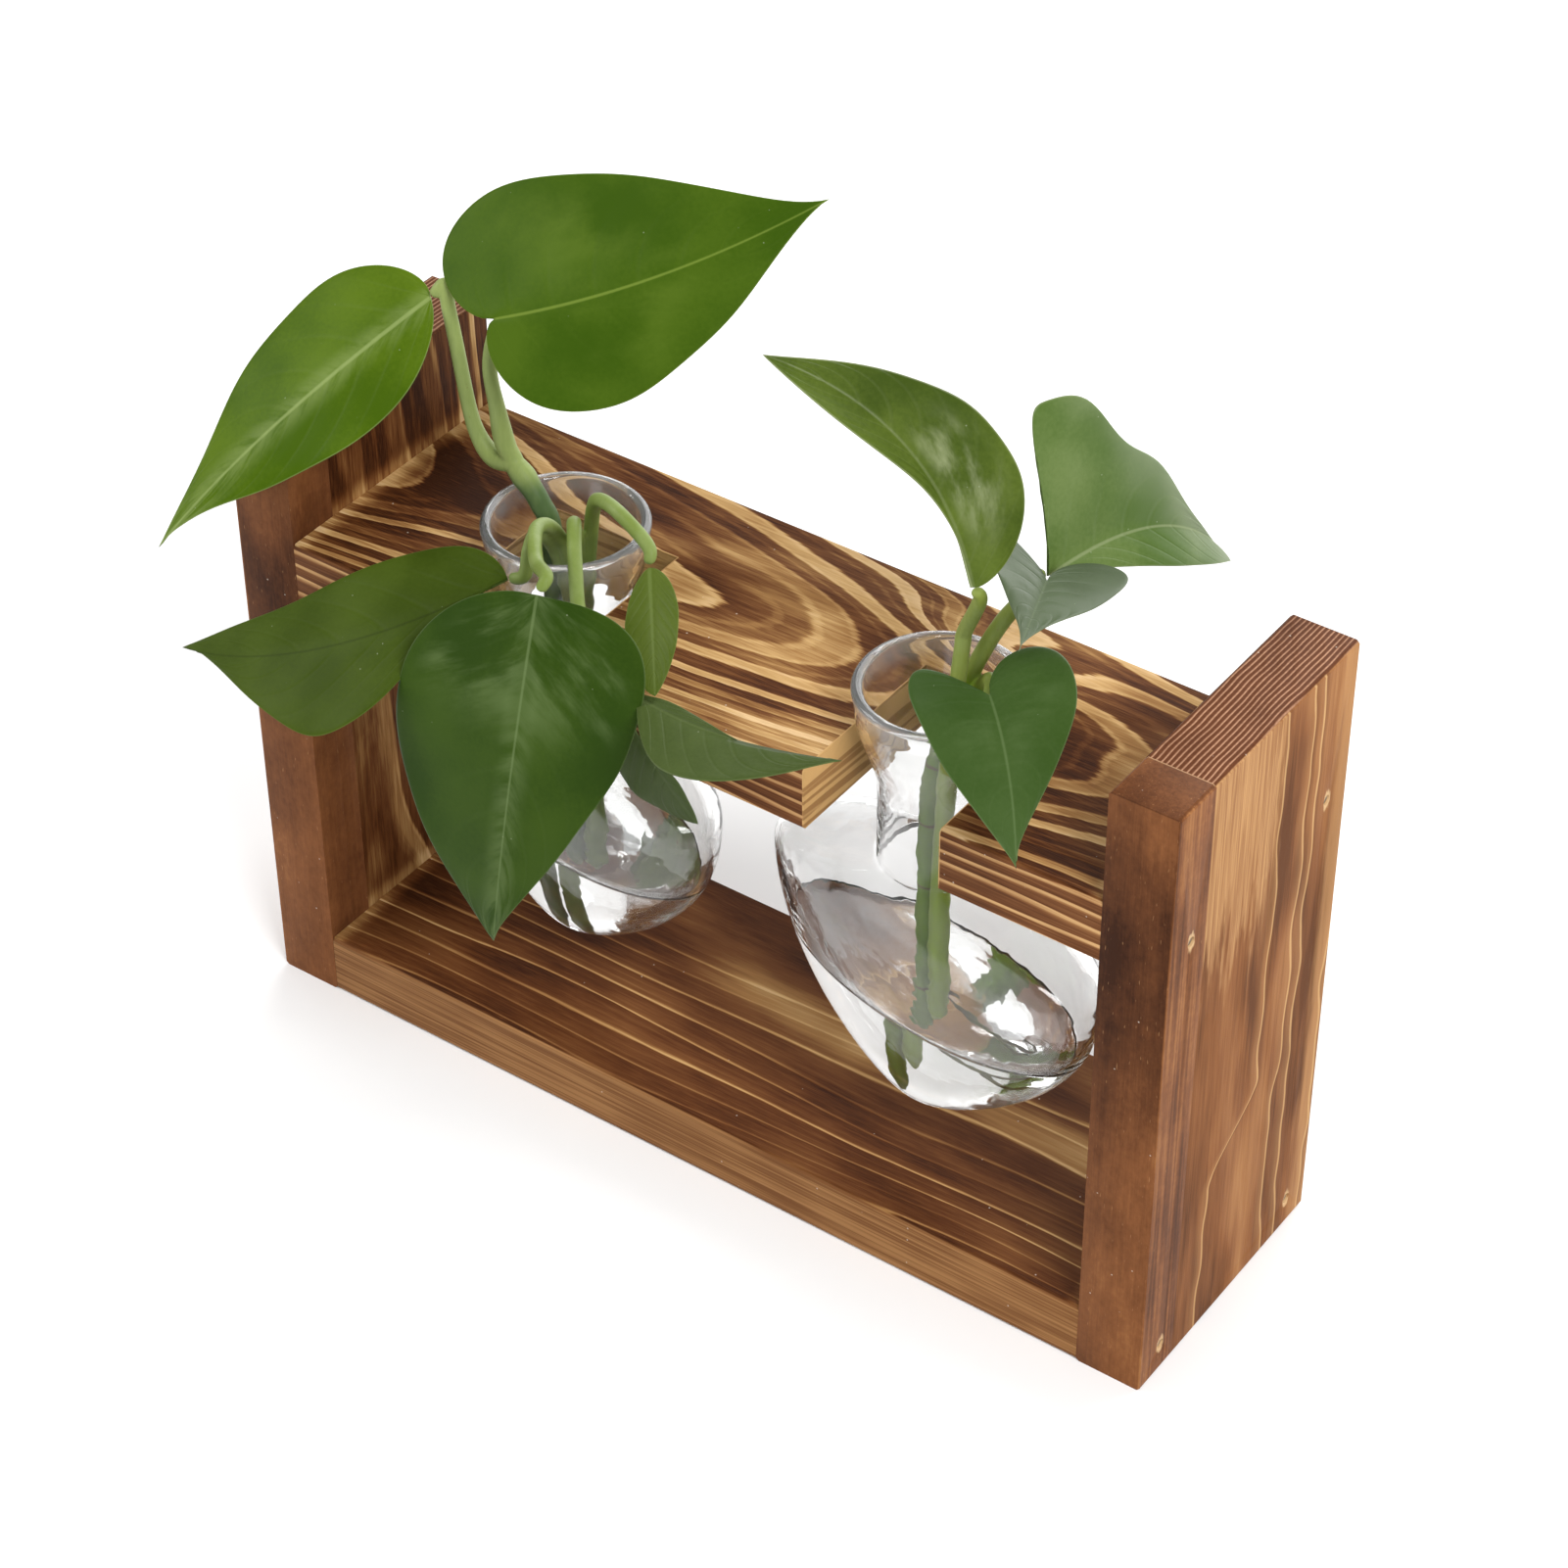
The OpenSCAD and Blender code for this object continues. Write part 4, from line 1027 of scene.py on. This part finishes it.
def stem_radii(route, r0, r1, joints=()):
    """The radius runs from r0 to r1, swells at each joint, and rounds off at the ends as a
    quarter circle, inside the route's own length."""
    s = arc_length(route)
    r = r0 + (r1 - r0) * s / s[-1]
    for at in joints:
        r = r * (1 + JOINT_SWELL * np.exp(-((s - at * s[-1]) / JOINT_LEN) ** 2))
    end = np.clip(np.minimum(s, s[-1] - s) / ROUND_LEN, 0.02, 1)
    return r * np.sqrt(np.clip(1 - (1 - end) ** 2, 0.1, 1))


def stalk_route(side, way, leaf):
    """A stalk's points from its stem to a hair before its blade."""
    e, n, _ = leaf_frame(leaf)
    d = unit(leaf[6][0] * e + leaf[6][1] * n)
    root = np.array(outside(side, [leaf[0]])[0])
    droop = leaf[6][1] * (max(0, -leaf[4]) + 4 * leaf[3]) * STALK_R
    end = [root - BEND_IN * d, root - (BLADE_T / 2 + LEAF_GAP + droop) * d]
    return inside(side, way[0]) + outside(side, way[1]) + [v.tolist() for v in end]


def fused(name, parts, grid_mm):
    """Tubes grown into one skin: all their surfaces are remeshed as one on a fine grid, and the
    skin is smoothed a little, so that stalks part from their stem in soft forks."""
    points, faces, base = [], [], 0
    for tube_points, tube_faces in parts:
        points.append(tube_points)
        faces += [[i + base for i in face] for face in tube_faces]
        base += len(tube_points)
    mesh = bpy.data.meshes.new(name + "_tubes")
    mesh.from_pydata((np.concatenate(points) * MM).tolist(), [], faces)
    rough = link(name + "_tubes", mesh)
    remesh = rough.modifiers.new("skin", "REMESH")
    remesh.mode, remesh.voxel_size, remesh.use_smooth_shade = "VOXEL", grid_mm * MM, True
    relax = rough.modifiers.new("soften", "SMOOTH")
    relax.factor, relax.iterations = 0.5, 6
    bpy.context.view_layer.update()
    skin = bpy.data.meshes.new_from_object(rough.evaluated_get(bpy.context.evaluated_depsgraph_get()))
    bpy.data.objects.remove(rough)
    bpy.data.meshes.remove(mesh)
    smooth_faces(skin)
    return link(name, skin)


def stem_finish(name, low, high, seed, turn_z, rings=()):
    """Stem skin: one green below turn_z and another above, a paler bloom, fine lengthwise streaks,
    brown rings and a few brownish freckles."""
    s = Shade(name)
    x, y, z = s.axes
    cloud = s.cells((x, 9), (y, 9), (z, 17, seed), detail=3)
    streak = s.cells((x, 0.7), (y, 0.7), (z, 9), detail=3)
    s.colour = s.mix(s.step(z, turn_z - 3, turn_z + 3), low, high)
    s.paint((0.3, 0.37, 0.14), s.step(cloud, 0.4, 0.65), 0.4)
    s.paint((0.08, 0.14, 0.025), streak, 0.3)
    for ring_x, ring_y, ring_z in rings:
        off = s.sub(x, ring_x)
        far = s.add(s.mul(s.abs(off), 0.12), s.mul(s.abs(s.sub(y, ring_y)), 0.12),
                    s.abs(s.add(z, -ring_z, s.mul(off, 0.25))))
        ring = s.step(s.add(far, s.mul(streak, 0.6)), 0.7, 1.5, reverse=True)
        s.paint((0.13, 0.06, 0.02), ring, 0.8)
    freckle = s.step(s.cells((x, 1.1), (y, 1.1), (z, 1.8)), 0.7, 0.76)
    s.paint((0.2, 0.13, 0.05), freckle, 0.35)
    s.bump(s.add(s.mul(streak, 0.5), cloud), 0.2, 0.5)
    return s.set(Base_Color=s.colour, Roughness=s.add(0.34, s.mul(streak, 0.15)),
                 Specular_IOR_Level=0.12)


def stem_piece(side, name, main, r0, r1, stalks, skin, joints):
    """One stem with its stalks. Stalks carry the leaves' numbers."""
    route = smooth_route(main, STEM_STEPS)
    parts = [tube(route, stem_radii(route, r0, r1, joints), STEM_SIDES)]
    ways = LEFT_WAYS if side == "left" else RIGHT_WAYS
    for i in stalks:
        way = stalk_route(side, ways[i], LEAVES[side][i])
        if np.allclose(way[0], main[-1]):
            way = [route[-LAP_STEPS].tolist()] + way
        run = smooth_route(way, STEM_STEPS)
        s = arc_length(run)
        radii = stem_radii(run, STALK_R, STALK_R * STALK_END)
        radii = radii * (1 - TAPER_SHARE * np.clip(1 - (s[-1] - s) / TAPER_LEN, 0, 1) ** 2)
        if name == "left_front_stem":
            radii = radii * (1 + SHEATH_SWELL * np.exp(-((s - SHEATH_AT) / SHEATH_LEN) ** 2))
        parts.append(tube(run, radii, STALK_SIDES))
    piece = fused(name + "_skin", parts, STEM_GRID)
    return finish_piece(piece, side + "_plant", "stem_green", skin, name)


# The left front stem's low green is a painted shadow: below MOUTH_Z + 9 it is far darker than above.
front_green_shadowed = stem_finish("left front stem skin", (0.07, 0.115, 0.045), (0.28, 0.34, 0.105), 1,
                          MOUTH_Z + 9)
back_green = stem_finish("left back stem skin", (0.13, 0.18, 0.045), (0.19, 0.25, 0.055), 2, MOUTH_Z)
pale_green = stem_finish("right front stem skin", (0.3, 0.42, 0.05), (0.23, 0.28, 0.05), 6, MOUTH_Z)
node_green = stem_finish("right back stem skin", (0.15, 0.27, 0.005), (0.21, 0.26, 0.045), 8, MOUTH_Z,
                         inside("right", [[-0.35, 0.2, 0.2], *RIGHT_BACK_IN[1:4]]))
stem_piece("left", "left_front_stem", inside("left", LEFT_FRONT_IN) + outside("left", LEFT_FRONT_OUT),
           STEM_R, STEM_R, (0, 1), front_green_shadowed, (0.12, 0.42, 0.97))
stem_piece("left", "left_back_stem", inside("left", LEFT_BACK_IN), STEM_R, STEM_R,
           (2, 3, 4, 5, 6), back_green, (0.2, 0.6))
stem_piece("right", "right_front_stem", inside("right", RIGHT_FRONT_IN)
           + outside("right", RIGHT_FRONT_OUT), STEM_R, STALK_R, (0,), pale_green, (0.3, 0.66))
stem_piece("right", "right_back_stem", inside("right", RIGHT_BACK_IN) + outside("right", RIGHT_BACK_OUT),
           STEM_R, STALK_R, (1, 2, 3), node_green, (0.14, 0.3, 0.42, 0.55))


# Thin brown roots in the right vase's water, from the back stem: places in the shared frame
ROOT_ROUTES = (((50.5, -7.5, 69), (60, -9.5, 62), (74, -13, 61), (85, -16, 65),
                (88.5, -16.5, 69), (85, -15.5, 70), (83.5, -14, 66.5)),
               ((74, -13, 61), (81, -15, 60), (87, -16, 63.5)))
ROOT_R, ROOT_END_R, ROOT_BROWN = 0.65, 0.4, (0.1, 0.05, 0.02)

root_skin = stem_finish("root skin", ROOT_BROWN, ROOT_BROWN, 3, MOUTH_Z)
root_parts = []
for route in ROOT_ROUTES:
    run = smooth_route(route, ROOT_STEPS)
    root_parts.append(tube(run, stem_radii(run, ROOT_R, ROOT_END_R), ROOT_SIDES))
finish_piece(fused("right_roots", root_parts, ROOT_GRID), "right_plant", "stem_green", root_skin)


# Floor, light and camera
FLOOR_HALF = 4000


def floor_paint():
    s = Shade("pale floor")
    x, y, _ = s.axes
    tone = s.cells((x, 400), (y, 400), 0, detail=1)
    return s.set(Base_Color=s.mix(tone, (0.9, 0.9, 0.9), (0.93, 0.93, 0.93)), Roughness=0.9,
                 Specular_IOR_Level=0.1)


def area_light(name, place, target, size, power):
    """A soft light in the frame's metres, turned towards its target."""
    data = bpy.data.lights.new(name, "AREA")
    data.shape, data.size, data.size_y = "RECTANGLE", size[0], size[1]
    data.energy = power
    lamp = link(name, data)
    lamp.location = place
    lamp.rotation_mode = "QUATERNION"
    lamp.rotation_quaternion = (Vector(target) - Vector(place)).to_track_quat("-Z", "Y")


floor = make_mesh("floor", [[x * FLOOR_HALF, y * FLOOR_HALF, 0]
                            for x, y in ((-1, -1), (1, -1), (1, 1), (-1, 1))], [[0, 1, 2, 3]])
floor.data.materials.append(floor_paint())

world = bpy.data.worlds.new("studio")
world.use_nodes = True
glow = world.node_tree.nodes["Background"].inputs
glow["Color"].default_value, glow["Strength"].default_value = (1, 1, 1, 1), 0.5
scene.world = world
for lamp in (("key softbox", (0.9, -0.5, 1.1), (0, 0, 0.08), (0.6, 0.6), 15),
             ("left softbox", (-1, -0.5, 0.8), (0, 0, 0.1), (0.5, 0.7), 7),
             ("backdrop panel", (0, 1.5, 0.8), (0, 0, 0.1), (2.4, 1.5), 34)):
    area_light(*lamp)
scene.view_settings.view_transform = "Standard"
scene.cycles.max_bounces, scene.cycles.transmission_bounces, scene.cycles.glossy_bounces = 28, 28, 12

# The camera at the photo's angle: its place in metres, its direction, and its roll in degrees
CAMERA_PLACE = (0.4529, -0.6272, 0.7274)
CAMERA_LOOK = (-0.45246, 0.63091, -0.63026)
CAMERA_ROLL = -0.374
FOCAL_PX, PICTURE_PX, SENSOR_MM = 4130.5, 1601, 36
camera_data = bpy.data.cameras.new("camera")
camera_data.sensor_width = SENSOR_MM
camera_data.lens = SENSOR_MM * FOCAL_PX / PICTURE_PX
camera_data.clip_start, camera_data.clip_end = 0.01, 20
camera = link("camera", camera_data)
look = np.array(CAMERA_LOOK)
right = unit(np.cross(look, [0, 0, 1]))
up = np.cross(right, look)
turn = math.radians(CAMERA_ROLL)
right, up = (right * math.cos(turn) + up * math.sin(turn), up * math.cos(turn) - right * math.sin(turn))
columns = np.column_stack([right, up, -look, CAMERA_PLACE])
camera.matrix_world = Matrix([*columns.tolist(), [0, 0, 0, 1]])
scene.camera = camera
